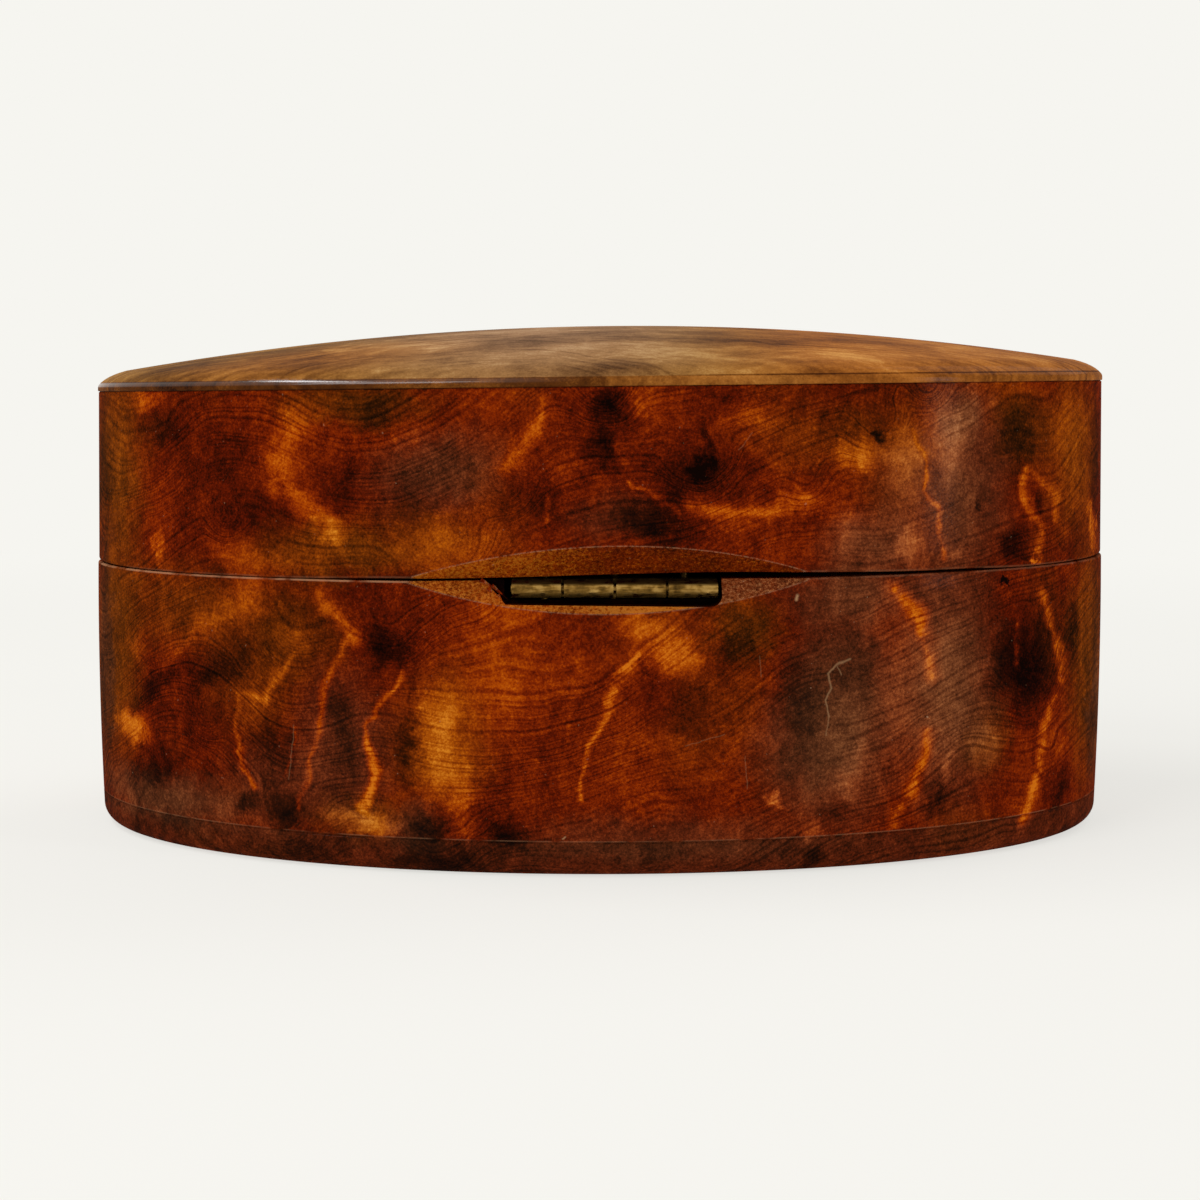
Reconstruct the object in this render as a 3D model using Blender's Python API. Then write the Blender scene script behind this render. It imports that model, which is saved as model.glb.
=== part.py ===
"""Oval trinket box of burl wood, with a crowned lid on a small brass hinge.

The long axis lies along X. The foot is at Z = 0, the front faces -Y and the hinge is at the
back, at +Y. The wooden box is four pieces: a base plate and a lid panel, each glued to a ring
of wall. The hinge is two rolled leaves, the pin between them and three nails in each leaf.
The lid's pieces hang from an empty on the hinge's axis, which turns about X.
"""

import math

import bmesh
import bpy
from mathutils import Matrix, Vector

mm = 0.001

# Driving dimensions of the wood
BOX_LENGTH = 120.0 * mm
BOX_DEPTH = 80.0 * mm
WALL_THICKNESS = 7.0 * mm
SEAM_HEIGHT = 30.9 * mm  # top of the body wall above the table
LID_WALL_HEIGHT = 19.9 * mm
BASE_THICKNESS = 3.6 * mm
WALL_DRAFT = 0.9 * mm  # how far the wall has curved in at the table
FOOT_RADIUS = 2.0 * mm
LID_DRAFT = 0.1 * mm  # how far the lid wall leans in at the seam
ARRIS_RADIUS = 0.25 * mm  # the softened edges at the seam
PANEL_OVERHANG = 0.1 * mm
PANEL_RIM_HEIGHT = 1.55 * mm  # the crown above the lid joint, at the rim
PANEL_EDGE_RADIUS = 0.7 * mm
PANEL_EDGE_SLOPE = 18  # degrees from level, where the rounded edge runs out into the crown
CROWN_RISE = 5.65 * mm  # from the rim to the middle of the lid

# Chamfers that let the lid swing back, and the thumb scoop that opens it
CHAMFER_INSET = 2.6 * mm  # into the wall, at the seam and in the middle of the back
LID_CHAMFER_HEIGHT = 3.2 * mm
BODY_CHAMFER_HEIGHT = 3.3 * mm
SCOOP_INSET = 1.0 * mm
SCOOP_HEIGHT = 2.6 * mm

# Driving dimensions of the hinge
HINGE_LENGTH = 21.6 * mm
HINGE_OFFSET = -0.7 * mm  # the hand-set hinge sits a little towards -X
KNUCKLE_COUNT = 4
LEAF_THICKNESS = 0.45 * mm
LEAF_REACH = 4.0 * mm  # from the pin's axis to the leaf's inner edge
ROLL_ANGLE = math.radians(292)  # how far each knuckle is rolled round the pin
PIN_DIAMETER = 0.82 * mm
PIN_PROTRUSION = 0.1 * mm  # past the knuckles, at each end
PIN_END_ROUNDING = 0.1 * mm
NAILS_PER_LEAF = 3
NAIL_END_MARGIN = 3.4 * mm  # from the leaf's end to its first nail
NAIL_REACH = 2.6 * mm  # from the pin's axis to the nails
NAIL_LENGTH = 6.0 * mm
NAIL_DIAMETER = 0.8 * mm
NAIL_POINT_LENGTH = 1.0 * mm
NAIL_HEAD_DIAMETER = 1.6 * mm
NAIL_HEAD_HEIGHT = 0.24 * mm
NAIL_DOME_SWEEP = 75  # degrees from the head's rim to its flat middle
NAIL_POINT_SHARE = 0.15  # the blunt point's width, as a share of the shank's

# Clearances
SEAM_GAP = 0.3 * mm
GLUE_LINE = 0.1 * mm
SEAT_GAP = 0.3 * mm  # between a leaf and the wood that it lies on
PIN_CLEARANCE = 0.09 * mm
KNUCKLE_GAP = 0.3 * mm
NAIL_CLEARANCE = 0.1 * mm  # round the shank, and under the head
MORTISE_SLACK_RIGHT = 1.4 * mm  # the ragged, overlong end of the hand-cut slot, at +X
MORTISE_SLACK_LEFT = 0.4 * mm  # at -X
BARREL_RELIEF = 0.4 * mm  # how much deeper the slot is cut under the barrel than under the leaf

# How finely round things are divided
OVAL_SIDES = 96
ARC_STEPS = 4
CROWN_RINGS = 6
WALL_RINGS = 6
KNUCKLE_STEPS = 20
ROUND_SIDES = 16
SHARP_ANGLE = math.radians(32)
CUTTER_MARGIN = 3.0 * mm

# Sizes that follow from the driving dimensions
BACK = BOX_DEPTH / 2
LID_SEAM_HEIGHT = SEAM_HEIGHT + SEAM_GAP
LID_JOINT_HEIGHT = LID_SEAM_HEIGHT + LID_WALL_HEIGHT
PANEL_BASE = LID_JOINT_HEIGHT + GLUE_LINE
BORE_RADIUS = PIN_DIAMETER / 2 + PIN_CLEARANCE
KNUCKLE_RADIUS = BORE_RADIUS + LEAF_THICKNESS
AXIS_HEIGHT = LID_SEAM_HEIGHT - SEAT_GAP - KNUCKLE_RADIUS
MORTISE_FLOOR = AXIS_HEIGHT - KNUCKLE_RADIUS - SEAT_GAP
RELIEF_FLOOR = MORTISE_FLOOR - BARREL_RELIEF


def axis_inset():
    """How far the pin lies inside the back wall, so that the chamfers meet flat at full opening.

    Each chamfer is a slope. They close on each other when the pin is as far outside the lid's
    slope as it is inside the body's.
    """
    lid_slope = math.hypot(CHAMFER_INSET, LID_CHAMFER_HEIGHT)
    body_slope = math.hypot(CHAMFER_INSET, BODY_CHAMFER_HEIGHT)
    above = (LID_SEAM_HEIGHT - AXIS_HEIGHT) / lid_slope
    below = (SEAM_HEIGHT - AXIS_HEIGHT) / body_slope
    spread = LID_CHAMFER_HEIGHT / lid_slope + BODY_CHAMFER_HEIGHT / body_slope
    return CHAMFER_INSET * (1 + (above - below) / spread)


AXIS = Vector((HINGE_OFFSET, BACK - axis_inset(), AXIS_HEIGHT))
LEAF_EDGE = AXIS.y - KNUCKLE_RADIUS - KNUCKLE_GAP  # where the leaves end and the tabs leave them
LID_CHAMFER_ANGLE = math.atan2(LID_CHAMFER_HEIGHT, CHAMFER_INSET)
BODY_CHAMFER_ANGLE = math.atan2(BODY_CHAMFER_HEIGHT, CHAMFER_INSET)
STOP_ANGLE = LID_CHAMFER_ANGLE + BODY_CHAMFER_ANGLE


def clear_scene():
    for thing in list(bpy.data.objects):
        bpy.data.objects.remove(thing, do_unlink=True)


def material(name, colour, roughness, metallic):
    made = bpy.data.materials.new(name)
    made.use_nodes = True
    shader = made.node_tree.nodes["Principled BSDF"]
    shader.inputs["Base Color"].default_value = (*colour, 1)
    shader.inputs["Roughness"].default_value = roughness
    shader.inputs["Metallic"].default_value = metallic
    return made


def mesh_of(name, bm):
    """Makes a mesh of a bmesh, with its faces pointing outwards."""
    bmesh.ops.recalc_face_normals(bm, faces=bm.faces)
    mesh = bpy.data.meshes.new(name)
    bm.to_mesh(mesh)
    bm.free()
    return mesh


def finished_mesh(name, bm, finish):
    """The mesh of a visible piece, with its round stretches shaded smooth."""
    mesh = mesh_of(name, bm)
    mesh.shade_smooth()
    mesh.set_sharp_from_angle(angle=SHARP_ANGLE)
    mesh.materials.append(finish)
    return mesh


def link_object(name, mesh):
    made = bpy.data.objects.new(name, mesh)
    bpy.context.scene.collection.objects.link(made)
    return made


def add_piece(name, bm, finish):
    return link_object(name, finished_mesh(name, bm, finish))


def add_cutter(name, bm):
    """A hidden shape to cut with. It stays flat shaded, so that the faces it leaves do too."""
    cutter = link_object(name, mesh_of(name, bm))
    cutter.hide_render = True
    cutter.display_type = "WIRE"
    return cutter


def cut(target, *cutters):
    """Takes each cutter's shape away from the target."""
    for cutter in cutters:
        step = target.modifiers.new(cutter.name, "BOOLEAN")
        step.operation = "DIFFERENCE"
        step.object = cutter


def oval_loop(bm, half_length, half_depth, height):
    """A loop of points round an ellipse. The height is a number, or a function of x and y."""
    points = []
    for i in range(OVAL_SIDES):
        turn = 2 * math.pi * i / OVAL_SIDES
        x = half_length * math.cos(turn)
        y = half_depth * math.sin(turn)
        z = height(x, y) if callable(height) else height
        points.append(bm.verts.new((x, y, z)))
    return points


def inset_loop(bm, inset, height):
    """An oval that lies that far inside the box's outline."""
    return oval_loop(bm, BOX_LENGTH / 2 - inset, BOX_DEPTH / 2 - inset, height)


def skin(bm, lower, upper):
    for i in range(OVAL_SIDES):
        j = (i + 1) % OVAL_SIDES
        bm.faces.new((lower[i], lower[j], upper[j], upper[i]))


def oval_solid(loops, bm, ring):
    """Skins neighbouring loops, then closes the solid as a ring or with a cap at each end."""
    for lower, upper in zip(loops, loops[1:]):
        skin(bm, lower, upper)
    if ring:
        skin(bm, loops[-1], loops[0])
    else:
        bm.faces.new(loops[0])
        bm.faces.new(loops[-1])


def wall_inset(height):
    """How far the body's outer wall has curved in at a height: nothing at the seam, most at the table."""
    return WALL_DRAFT * (1 - height / SEAM_HEIGHT) ** 2


def arc(steps, first, last):
    """Angles from first to last, in degrees, both included."""
    return [math.radians(first + (last - first) * i / steps) for i in range(steps + 1)]


def softened_top(inset, top):
    """Profile points that round a wall's upper outer arris off, from the wall inwards."""
    return [
        (inset + ARRIS_RADIUS * (1 - math.cos(a)), top - ARRIS_RADIUS * (1 - math.sin(a)))
        for a in arc(ARC_STEPS, 0, 90)
    ]


def softened_bottom(inset, bottom):
    """The same for a wall's lower outer arris, from the underside up to the wall."""
    return [
        (inset + ARRIS_RADIUS * (1 - math.cos(a)), bottom + ARRIS_RADIUS * (1 - math.sin(a)))
        for a in arc(ARC_STEPS, 90, 0)
    ]


def build_base_plate(finish):
    """The flat base, with a rounded foot and an edge that carries on the wall's curve."""
    bm = bmesh.new()
    profile = []
    for a in arc(ARC_STEPS, 90, 0):
        height = FOOT_RADIUS * (1 - math.sin(a))
        profile.append((wall_inset(height) + FOOT_RADIUS * (1 - math.cos(a)), height))
    profile.append((wall_inset(BASE_THICKNESS), BASE_THICKNESS))
    loops = [inset_loop(bm, inset, height) for inset, height in profile]
    oval_solid(loops, bm, ring=False)
    return add_piece("base_plate", bm, finish)


def build_body_wall(finish):
    """The lower ring of wall, which curves in a little towards the base."""
    bm = bmesh.new()
    bottom = BASE_THICKNESS + GLUE_LINE
    shoulder = SEAM_HEIGHT - ARRIS_RADIUS
    profile = [(WALL_THICKNESS, bottom)]
    for i in range(WALL_RINGS):
        height = bottom + (shoulder - bottom) * i / WALL_RINGS
        profile.append((wall_inset(height), height))
    profile += softened_top(0, SEAM_HEIGHT)
    profile.append((WALL_THICKNESS, SEAM_HEIGHT))
    loops = [inset_loop(bm, inset, height) for inset, height in profile]
    oval_solid(loops, bm, ring=True)
    return add_piece("body_wall", bm, finish)


def build_lid_wall(finish):
    """The upper ring of wall, between the seam and the lid panel."""
    bm = bmesh.new()
    profile = [(WALL_THICKNESS, LID_SEAM_HEIGHT)]
    profile += softened_bottom(LID_DRAFT, LID_SEAM_HEIGHT)
    profile += [(0, LID_JOINT_HEIGHT), (WALL_THICKNESS, LID_JOINT_HEIGHT)]
    loops = [inset_loop(bm, inset, height) for inset, height in profile]
    oval_solid(loops, bm, ring=True)
    return add_piece("lid_wall", bm, finish)


def crown_height(x, y):
    """The lid's upper surface: a shallow dome, highest in the middle."""
    share = (2 * x / BOX_LENGTH) ** 2 + (2 * y / BOX_DEPTH) ** 2
    return PANEL_BASE + PANEL_RIM_HEIGHT + CROWN_RISE * (1 - share)


def build_lid_panel(finish):
    """The solid panel on the lid: flat below, crowned above, with a rounded upper edge."""
    bm = bmesh.new()
    loops = [inset_loop(bm, -PANEL_OVERHANG, PANEL_BASE)]
    inner = PANEL_EDGE_RADIUS - PANEL_OVERHANG
    centre_height = crown_height(BOX_LENGTH / 2 - inner, 0) - PANEL_EDGE_RADIUS
    for a in arc(ARC_STEPS, 0, 90 - PANEL_EDGE_SLOPE):
        inset = inner - PANEL_EDGE_RADIUS * math.cos(a)
        loops.append(inset_loop(bm, inset, centre_height + PANEL_EDGE_RADIUS * math.sin(a)))
    rim_length = BOX_LENGTH / 2 - inner
    rim_depth = BOX_DEPTH / 2 - inner
    for i in range(CROWN_RINGS):
        share = 1 - i / CROWN_RINGS
        loops.append(oval_loop(bm, rim_length * share, rim_depth * share, crown_height))
    for lower, upper in zip(loops, loops[1:]):
        skin(bm, lower, upper)
    bm.faces.new(loops[0])
    summit = bm.verts.new((0, 0, crown_height(0, 0)))
    for i in range(OVAL_SIDES):
        bm.faces.new((loops[-1][i], loops[-1][(i + 1) % OVAL_SIDES], summit))
    return add_piece("lid_panel", bm, finish)


def prism(name, section, first_x, last_x):
    """A cutter: a section of (y, z) points, drawn out along X."""
    bm = bmesh.new()
    face = bm.faces.new([bm.verts.new((first_x, y, z)) for y, z in section])
    drawn = bmesh.ops.extrude_face_region(bm, geom=[face])
    moved = [v for v in drawn["geom"] if isinstance(v, bmesh.types.BMVert)]
    bmesh.ops.translate(bm, verts=moved, vec=(last_x - first_x, 0, 0))
    return add_cutter(name, bm)


def chamfer_cutter(name, side, seam, inset, height):
    """Cuts a sloping facet off a wall's arris at the seam, where the oval bulges furthest.

    Side is +1 at the back and -1 at the front. Height is how far the facet runs up the wall
    from the seam, or down it if negative.
    """
    slope = Vector((inset, height)).normalized() * CUTTER_MARGIN
    outward = Vector((abs(slope.y), -slope.x * math.copysign(1, height)))
    root = Vector((BACK - inset, seam)) - slope
    foot = Vector((BACK, seam + height)) + slope
    section = [root, foot, foot + outward, root + outward]
    reach = BOX_LENGTH / 2
    return prism(name, [(side * p.x, p.y) for p in section], -reach, reach)


def mortise_cutter():
    """The slot across the body wall, open above and at both faces, that takes both leaves."""
    inside = BACK - WALL_THICKNESS - CUTTER_MARGIN
    outside = BACK + CUTTER_MARGIN
    top = SEAM_HEIGHT + CUTTER_MARGIN
    section = [
        (inside, MORTISE_FLOOR),
        (LEAF_EDGE, MORTISE_FLOOR),
        (LEAF_EDGE, RELIEF_FLOOR),
        (outside, RELIEF_FLOOR),
        (outside, top),
        (inside, top),
    ]
    left = AXIS.x - HINGE_LENGTH / 2 - MORTISE_SLACK_LEFT
    right = AXIS.x + HINGE_LENGTH / 2 + MORTISE_SLACK_RIGHT
    return prism("mortise_cutter", section, left, right)


def nail_positions():
    """The nails of one leaf, as points on the height of the pin's axis."""
    reach = HINGE_LENGTH / 2 - NAIL_END_MARGIN
    pitch = 2 * reach / (NAILS_PER_LEAF - 1)
    first = AXIS - Vector((reach, NAIL_REACH, 0))
    return [first + Vector((i * pitch, 0, 0)) for i in range(NAILS_PER_LEAF)]


def nail_hole_cutter(name, bottom, top):
    """A row of round cutters where one leaf's nails go."""
    bm = bmesh.new()
    radius = NAIL_DIAMETER / 2 + NAIL_CLEARANCE
    for point in nail_positions():
        place = Matrix.Translation((point.x, point.y, (bottom + top) / 2))
        bmesh.ops.create_cone(
            bm, cap_ends=True, segments=ROUND_SIDES, radius1=radius, radius2=radius,
            depth=top - bottom, matrix=place,
        )
    return add_cutter(name, bm)


def knuckle_ends():
    """The X values where each knuckle of the hinge starts and ends, from its -X end."""
    pitch = (HINGE_LENGTH + KNUCKLE_GAP) / KNUCKLE_COUNT
    starts = [AXIS.x - HINGE_LENGTH / 2 + i * pitch for i in range(KNUCKLE_COUNT)]
    return [x for start in starts for x in (start, start + pitch - KNUCKLE_GAP)]


def build_leaf(name, side, first_knuckle, finish):
    """A strip of brass, every second tab of which is rolled round the pin.

    Side is +1 for the lid's leaf, which leaves the top of the barrel, and -1 for the body's,
    which leaves the bottom. Each tab's end face is spun about the pin's axis.
    """
    bm = bmesh.new()
    inner = AXIS.y - LEAF_REACH
    outer_face = AXIS.z + side * KNUCKLE_RADIUS
    inner_face = AXIS.z + side * BORE_RADIUS
    section = [(inner, outer_face), (LEAF_EDGE, outer_face), (LEAF_EDGE, inner_face), (inner, inner_face)]
    rows = [[bm.verts.new((x, y, z)) for y, z in section] for x in knuckle_ends()]
    tabs = []
    for number, (near, far) in enumerate(zip(rows, rows[1:])):
        for i in range(4):
            j = (i + 1) % 4
            face = bm.faces.new((near[i], near[j], far[j], far[i]))
            if i == 1 and number % 4 == 2 * first_knuckle:
                tabs.append(face)
    bm.faces.new(rows[0])
    bm.faces.new(rows[-1])
    for tab in tabs:
        roll_knuckle(bm, tab, side)
    return add_piece(name, bm, finish)


def roll_knuckle(bm, face, side):
    """Draws a tab's end out to the line above or below the pin, then rolls it round the pin.

    Both steps leave the face that they started from inside the brass, so it is taken out.
    """
    drawn = bmesh.ops.extrude_face_region(bm, geom=[face])["geom"]
    moved = [v for v in drawn if isinstance(v, bmesh.types.BMVert)]
    bmesh.ops.translate(bm, verts=moved, vec=(0, AXIS.y - LEAF_EDGE, 0))
    tip = [f for f in drawn if isinstance(f, bmesh.types.BMFace)]
    bmesh.ops.spin(
        bm, geom=tip, cent=AXIS, axis=(-side, 0, 0), angle=ROLL_ANGLE, steps=KNUCKLE_STEPS,
        use_duplicate=False,
    )
    bmesh.ops.delete(bm, geom=[face, *tip], context="FACES_ONLY")


def build_pin(finish):
    """The hinge pin, with its ends a little proud of the barrel."""
    bm = bmesh.new()
    lie_along_x = Matrix.Translation(AXIS) @ Matrix.Rotation(math.radians(90), 4, "Y")
    bmesh.ops.create_cone(
        bm, cap_ends=True, segments=ROUND_SIDES, radius1=PIN_DIAMETER / 2,
        radius2=PIN_DIAMETER / 2, depth=HINGE_LENGTH + 2 * PIN_PROTRUSION, matrix=lie_along_x,
    )
    rims = [e for e in bm.edges if any(len(f.verts) > 4 for f in e.link_faces)]
    bmesh.ops.bevel(bm, geom=rims, offset=PIN_END_ROUNDING, segments=2, profile=0.5, affect="EDGES")
    return add_piece("hinge_pin", bm, finish)


def nail_mesh(finish):
    """One nail, point up: a low domed head, then a shank that starts at the leaf's outer side."""
    bm = bmesh.new()
    head = NAIL_HEAD_DIAMETER / 2
    shank = NAIL_DIAMETER / 2
    dome = arc(ARC_STEPS, NAIL_DOME_SWEEP, 0)
    profile = [(head * math.cos(a), -NAIL_HEAD_HEIGHT * math.sin(a)) for a in dome]
    profile += [(shank, 0), (shank, NAIL_LENGTH - NAIL_POINT_LENGTH)]
    profile.append((shank * NAIL_POINT_SHARE, NAIL_LENGTH))
    rings = []
    for radius, z in profile:
        turns = [2 * math.pi * i / ROUND_SIDES for i in range(ROUND_SIDES)]
        rings.append([bm.verts.new((radius * math.cos(t), radius * math.sin(t), z)) for t in turns])
    for near, far in zip(rings, rings[1:]):
        for i in range(ROUND_SIDES):
            j = (i + 1) % ROUND_SIDES
            bm.faces.new((near[i], near[j], far[j], far[i]))
    bm.faces.new(rings[0])
    bm.faces.new(rings[-1])
    return finished_mesh("hinge_nail", bm, finish)


def place_nails(name, side, mesh):
    """A leaf's nails. Side is +1 for nails driven up into the lid, -1 for nails driven down."""
    nails = []
    seat = side * (BORE_RADIUS - NAIL_CLEARANCE)
    for number, point in enumerate(nail_positions(), 1):
        nail = link_object(f"{name}_{number}", mesh)
        nail.location = point + Vector((0, 0, seat))
        if side < 0:
            nail.rotation_euler.x = math.pi
        nails.append(nail)
    return nails


def cut_woodwork(body_wall, lid_wall):
    """Chamfers at the back, the hinge's slot and nail holes, and the thumb scoop at the front."""
    cut(
        body_wall,
        chamfer_cutter("body_chamfer_cutter", 1, SEAM_HEIGHT, CHAMFER_INSET, -BODY_CHAMFER_HEIGHT),
        mortise_cutter(),
        nail_hole_cutter("body_nail_cutter", MORTISE_FLOOR - NAIL_LENGTH, SEAM_HEIGHT),
    )
    cut(
        lid_wall,
        chamfer_cutter("lid_chamfer_cutter", 1, LID_SEAM_HEIGHT, CHAMFER_INSET, LID_CHAMFER_HEIGHT),
        chamfer_cutter("scoop_cutter", -1, LID_SEAM_HEIGHT, SCOOP_INSET, SCOOP_HEIGHT),
        nail_hole_cutter("lid_nail_cutter", SEAM_HEIGHT, LID_SEAM_HEIGHT + NAIL_LENGTH),
    )


def hang_lid(pieces):
    """Parents the lid's pieces to an empty on the hinge's axis, so that turning it opens the lid."""
    pivot = bpy.data.objects.new("lid_pivot", None)
    pivot.location = AXIS
    bpy.context.scene.collection.objects.link(pivot)
    for piece in pieces:
        piece.parent = pivot
        piece.matrix_parent_inverse = Matrix.Translation(-AXIS)


def main():
    clear_scene()
    wall_wood = material("burl_wall", (0.21, 0.055, 0.012), 0.25, 0.0)
    panel_wood = material("burl_panel", (0.33, 0.13, 0.035), 0.22, 0.0)
    base_wood = material("burl_base", (0.11, 0.026, 0.012), 0.3, 0.0)
    brass = material("aged_brass", (0.42, 0.31, 0.12), 0.35, 1.0)

    body_wall = build_body_wall(wall_wood)
    lid_wall = build_lid_wall(wall_wood)
    cut_woodwork(body_wall, lid_wall)
    build_base_plate(base_wood)
    lid_panel = build_lid_panel(panel_wood)

    lid_leaf = build_leaf("lid_hinge_leaf", 1, 0, brass)
    body_leaf = build_leaf("body_hinge_leaf", -1, 1, brass)
    leaf_top = AXIS.z + 2 * KNUCKLE_RADIUS
    leaf_bottom = AXIS.z - 2 * KNUCKLE_RADIUS
    cut(lid_leaf, nail_hole_cutter("lid_leaf_cutter", AXIS.z, leaf_top))
    cut(body_leaf, nail_hole_cutter("body_leaf_cutter", leaf_bottom, AXIS.z))
    build_pin(brass)
    nail = nail_mesh(brass)
    lid_nails = place_nails("lid_hinge_nail", 1, nail)
    place_nails("body_hinge_nail", -1, nail)
    hang_lid([lid_wall, lid_panel, lid_leaf, *lid_nails])

    print(f"hinge axis {AXIS.y / mm:.3f} mm back, {AXIS.z / mm:.3f} mm up")
    print(f"the chamfers meet at {math.degrees(STOP_ANGLE):.1f} degrees")


main()
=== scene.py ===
# %% [markdown]
# # An oval burl box on a small brass hinge
# This notebook dresses a plain CAD model as an old hand-made keepsake box. The real box has
# a wall sawn from one block of burl, a base plate and a crowned lid panel glued on, and a
# brass hinge of two rolled leaves let into the back. The CAD model is loaded as a fixed frame,
# and each new piece takes its place from the box of the CAD node that it stands for.

# %% Load the frame
import math
import bmesh
import bpy
from mathutils import Matrix, Vector


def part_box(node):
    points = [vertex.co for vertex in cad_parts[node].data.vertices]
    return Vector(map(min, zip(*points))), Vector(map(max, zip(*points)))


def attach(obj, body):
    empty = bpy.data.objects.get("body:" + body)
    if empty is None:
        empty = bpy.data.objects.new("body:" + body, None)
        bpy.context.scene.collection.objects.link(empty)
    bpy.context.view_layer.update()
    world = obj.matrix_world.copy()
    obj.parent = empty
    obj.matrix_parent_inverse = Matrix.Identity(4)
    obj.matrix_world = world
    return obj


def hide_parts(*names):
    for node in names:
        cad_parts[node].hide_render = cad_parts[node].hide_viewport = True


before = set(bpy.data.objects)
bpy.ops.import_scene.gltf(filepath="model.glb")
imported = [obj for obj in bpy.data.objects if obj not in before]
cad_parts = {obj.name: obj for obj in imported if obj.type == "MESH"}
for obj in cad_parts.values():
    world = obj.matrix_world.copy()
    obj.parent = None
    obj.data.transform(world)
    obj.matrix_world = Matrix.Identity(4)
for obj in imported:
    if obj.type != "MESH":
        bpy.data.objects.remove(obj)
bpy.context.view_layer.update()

# %% [markdown]
# ## Sizes
# Blender and the frame count in metres, and a box this small is easier to think about in
# millimetres. So every piece is modelled in millimetres and shrunk by a thousand at its end.
# Reading the heights from the frame keeps the dressed box on the CAD box without any fitting.

# %% Read the sizes from the frame
mm = 0.001


def node_box(name):
    """The lowest and highest corner of a CAD node, in millimetres."""
    low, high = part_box(name)
    return low / mm, high / mm


base_high = node_box("base_plate")[1]
body_low, body_high = node_box("body_wall")
lid_low, lid_high = node_box("lid_wall")
panel_low, panel_high = node_box("lid_panel")
pin_low, pin_high = node_box("hinge_pin")

HALF_LENGTH = body_high.x
HALF_DEPTH = body_high.y
WALL = 7.0
BASE_TOP = base_high.z
BODY_BOTTOM = body_low.z
SEAM = body_high.z
LID_SEAM = lid_low.z
LID_TOP = lid_high.z
PANEL_BOTTOM = panel_low.z
SUMMIT = panel_high.z
AXIS = (pin_low + pin_high) / 2
print(f"oval {2 * HALF_LENGTH:.1f} x {2 * HALF_DEPTH:.1f} mm, seam at {SEAM:.1f}, summit {SUMMIT:.1f}")
print(f"hinge axis {AXIS.y:.3f} mm back and {AXIS.z:.3f} mm up, its middle at {AXIS.x:.2f} mm")

# %% [markdown]
# ## Helpers for the woodwork
# A turned or bandsawn oval is the same outline again and again at different heights. It could
# be a stretched cylinder with loop cuts. Drawing it up from one stretched circle, edge by edge,
# is closer to how a moulding is described: a list of how far in and how high each step lies.
# The circle is extruded and each new rim is scaled and lifted to its place.

# %% Oval lofting
OVAL_SIDES = 288


def oval(inset, height):
    """One step of a moulding: half length, half depth and height."""
    return (HALF_LENGTH - inset, HALF_DEPTH - inset, height)


print("sides of an oval:", OVAL_SIDES)


def first_rim(bm, step, sides):
    made = bmesh.ops.create_circle(bm, cap_ends=False, segments=sides, radius=1.0)
    place = Matrix.Translation((0, 0, step[2])) @ Matrix.Diagonal((step[0], step[1], 1, 1))
    bmesh.ops.transform(bm, matrix=place, verts=made["verts"])
    return list({e for v in made["verts"] for e in v.link_edges})


def next_rim(bm, rim, old, new):
    """Draws a rim on to its next step and returns the new rim's edges."""
    drawn = bmesh.ops.extrude_edge_only(bm, edges=rim)["geom"]
    points = [v for v in drawn if isinstance(v, bmesh.types.BMVert)]
    bmesh.ops.scale(bm, vec=(new[0] / old[0], new[1] / old[1], 1), verts=points)
    bmesh.ops.translate(bm, vec=(0, 0, new[2] - old[2]), verts=points)
    fresh = set(points)
    return list({e for v in points for e in v.link_edges if e.other_vert(v) in fresh})


def loft(bm, steps, sides=OVAL_SIDES):
    """Skins a moulding from its first step to its last, and returns both end rims."""
    start = first_rim(bm, steps[0], sides)
    rim = start
    for old, new in zip(steps, steps[1:]):
        rim = next_rim(bm, rim, old, new)
    return start, rim


def solid_loft(steps, sides=OVAL_SIDES):
    """A moulding closed at both ends, as a new bmesh."""
    bm = bmesh.new()
    for rim in loft(bm, steps, sides):
        bmesh.ops.edgeloop_fill(bm, edges=rim)
    return bm


# %% Rounded corners of a moulding
def sweep(first, last, count):
    """Angles from first to last, given in degrees, both included."""
    return [math.radians(first + (last - first) * i / count) for i in range(count + 1)]


def upper_arris(inset, top, radius, count=5):
    return [
        oval(inset + radius * (1 - math.cos(a)), top - radius * (1 - math.sin(a)))
        for a in sweep(0, 90, count)
    ]


def lower_arris(inset, bottom, radius, count=5):
    return [
        oval(inset + radius * (1 - math.cos(a)), bottom + radius * (1 - math.sin(a)))
        for a in sweep(90, 0, count)
    ]


# %% [markdown]
# ## Finishing a piece
# One helper does the last steps for all of them: it points the faces outwards, shrinks the
# millimetres to metres, shades the round stretches smooth and hangs the piece on its body.

# %% Finish a piece
SHARP = math.radians(28)
MERGE = 0.0005
scene = bpy.context.scene
pieces = {}
# The real box was sawn by hand and isn't square: the higher up, the more its -X end stands up.
WOOD_TILT = 0.0132


def mesh_object(name, bm):
    """Puts a bmesh into the scene as an object, and frees the bmesh."""
    mesh = bpy.data.meshes.new(name)
    bm.to_mesh(mesh)
    bm.free()
    thing = bpy.data.objects.new(name, mesh)
    scene.collection.objects.link(thing)
    return thing


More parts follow.
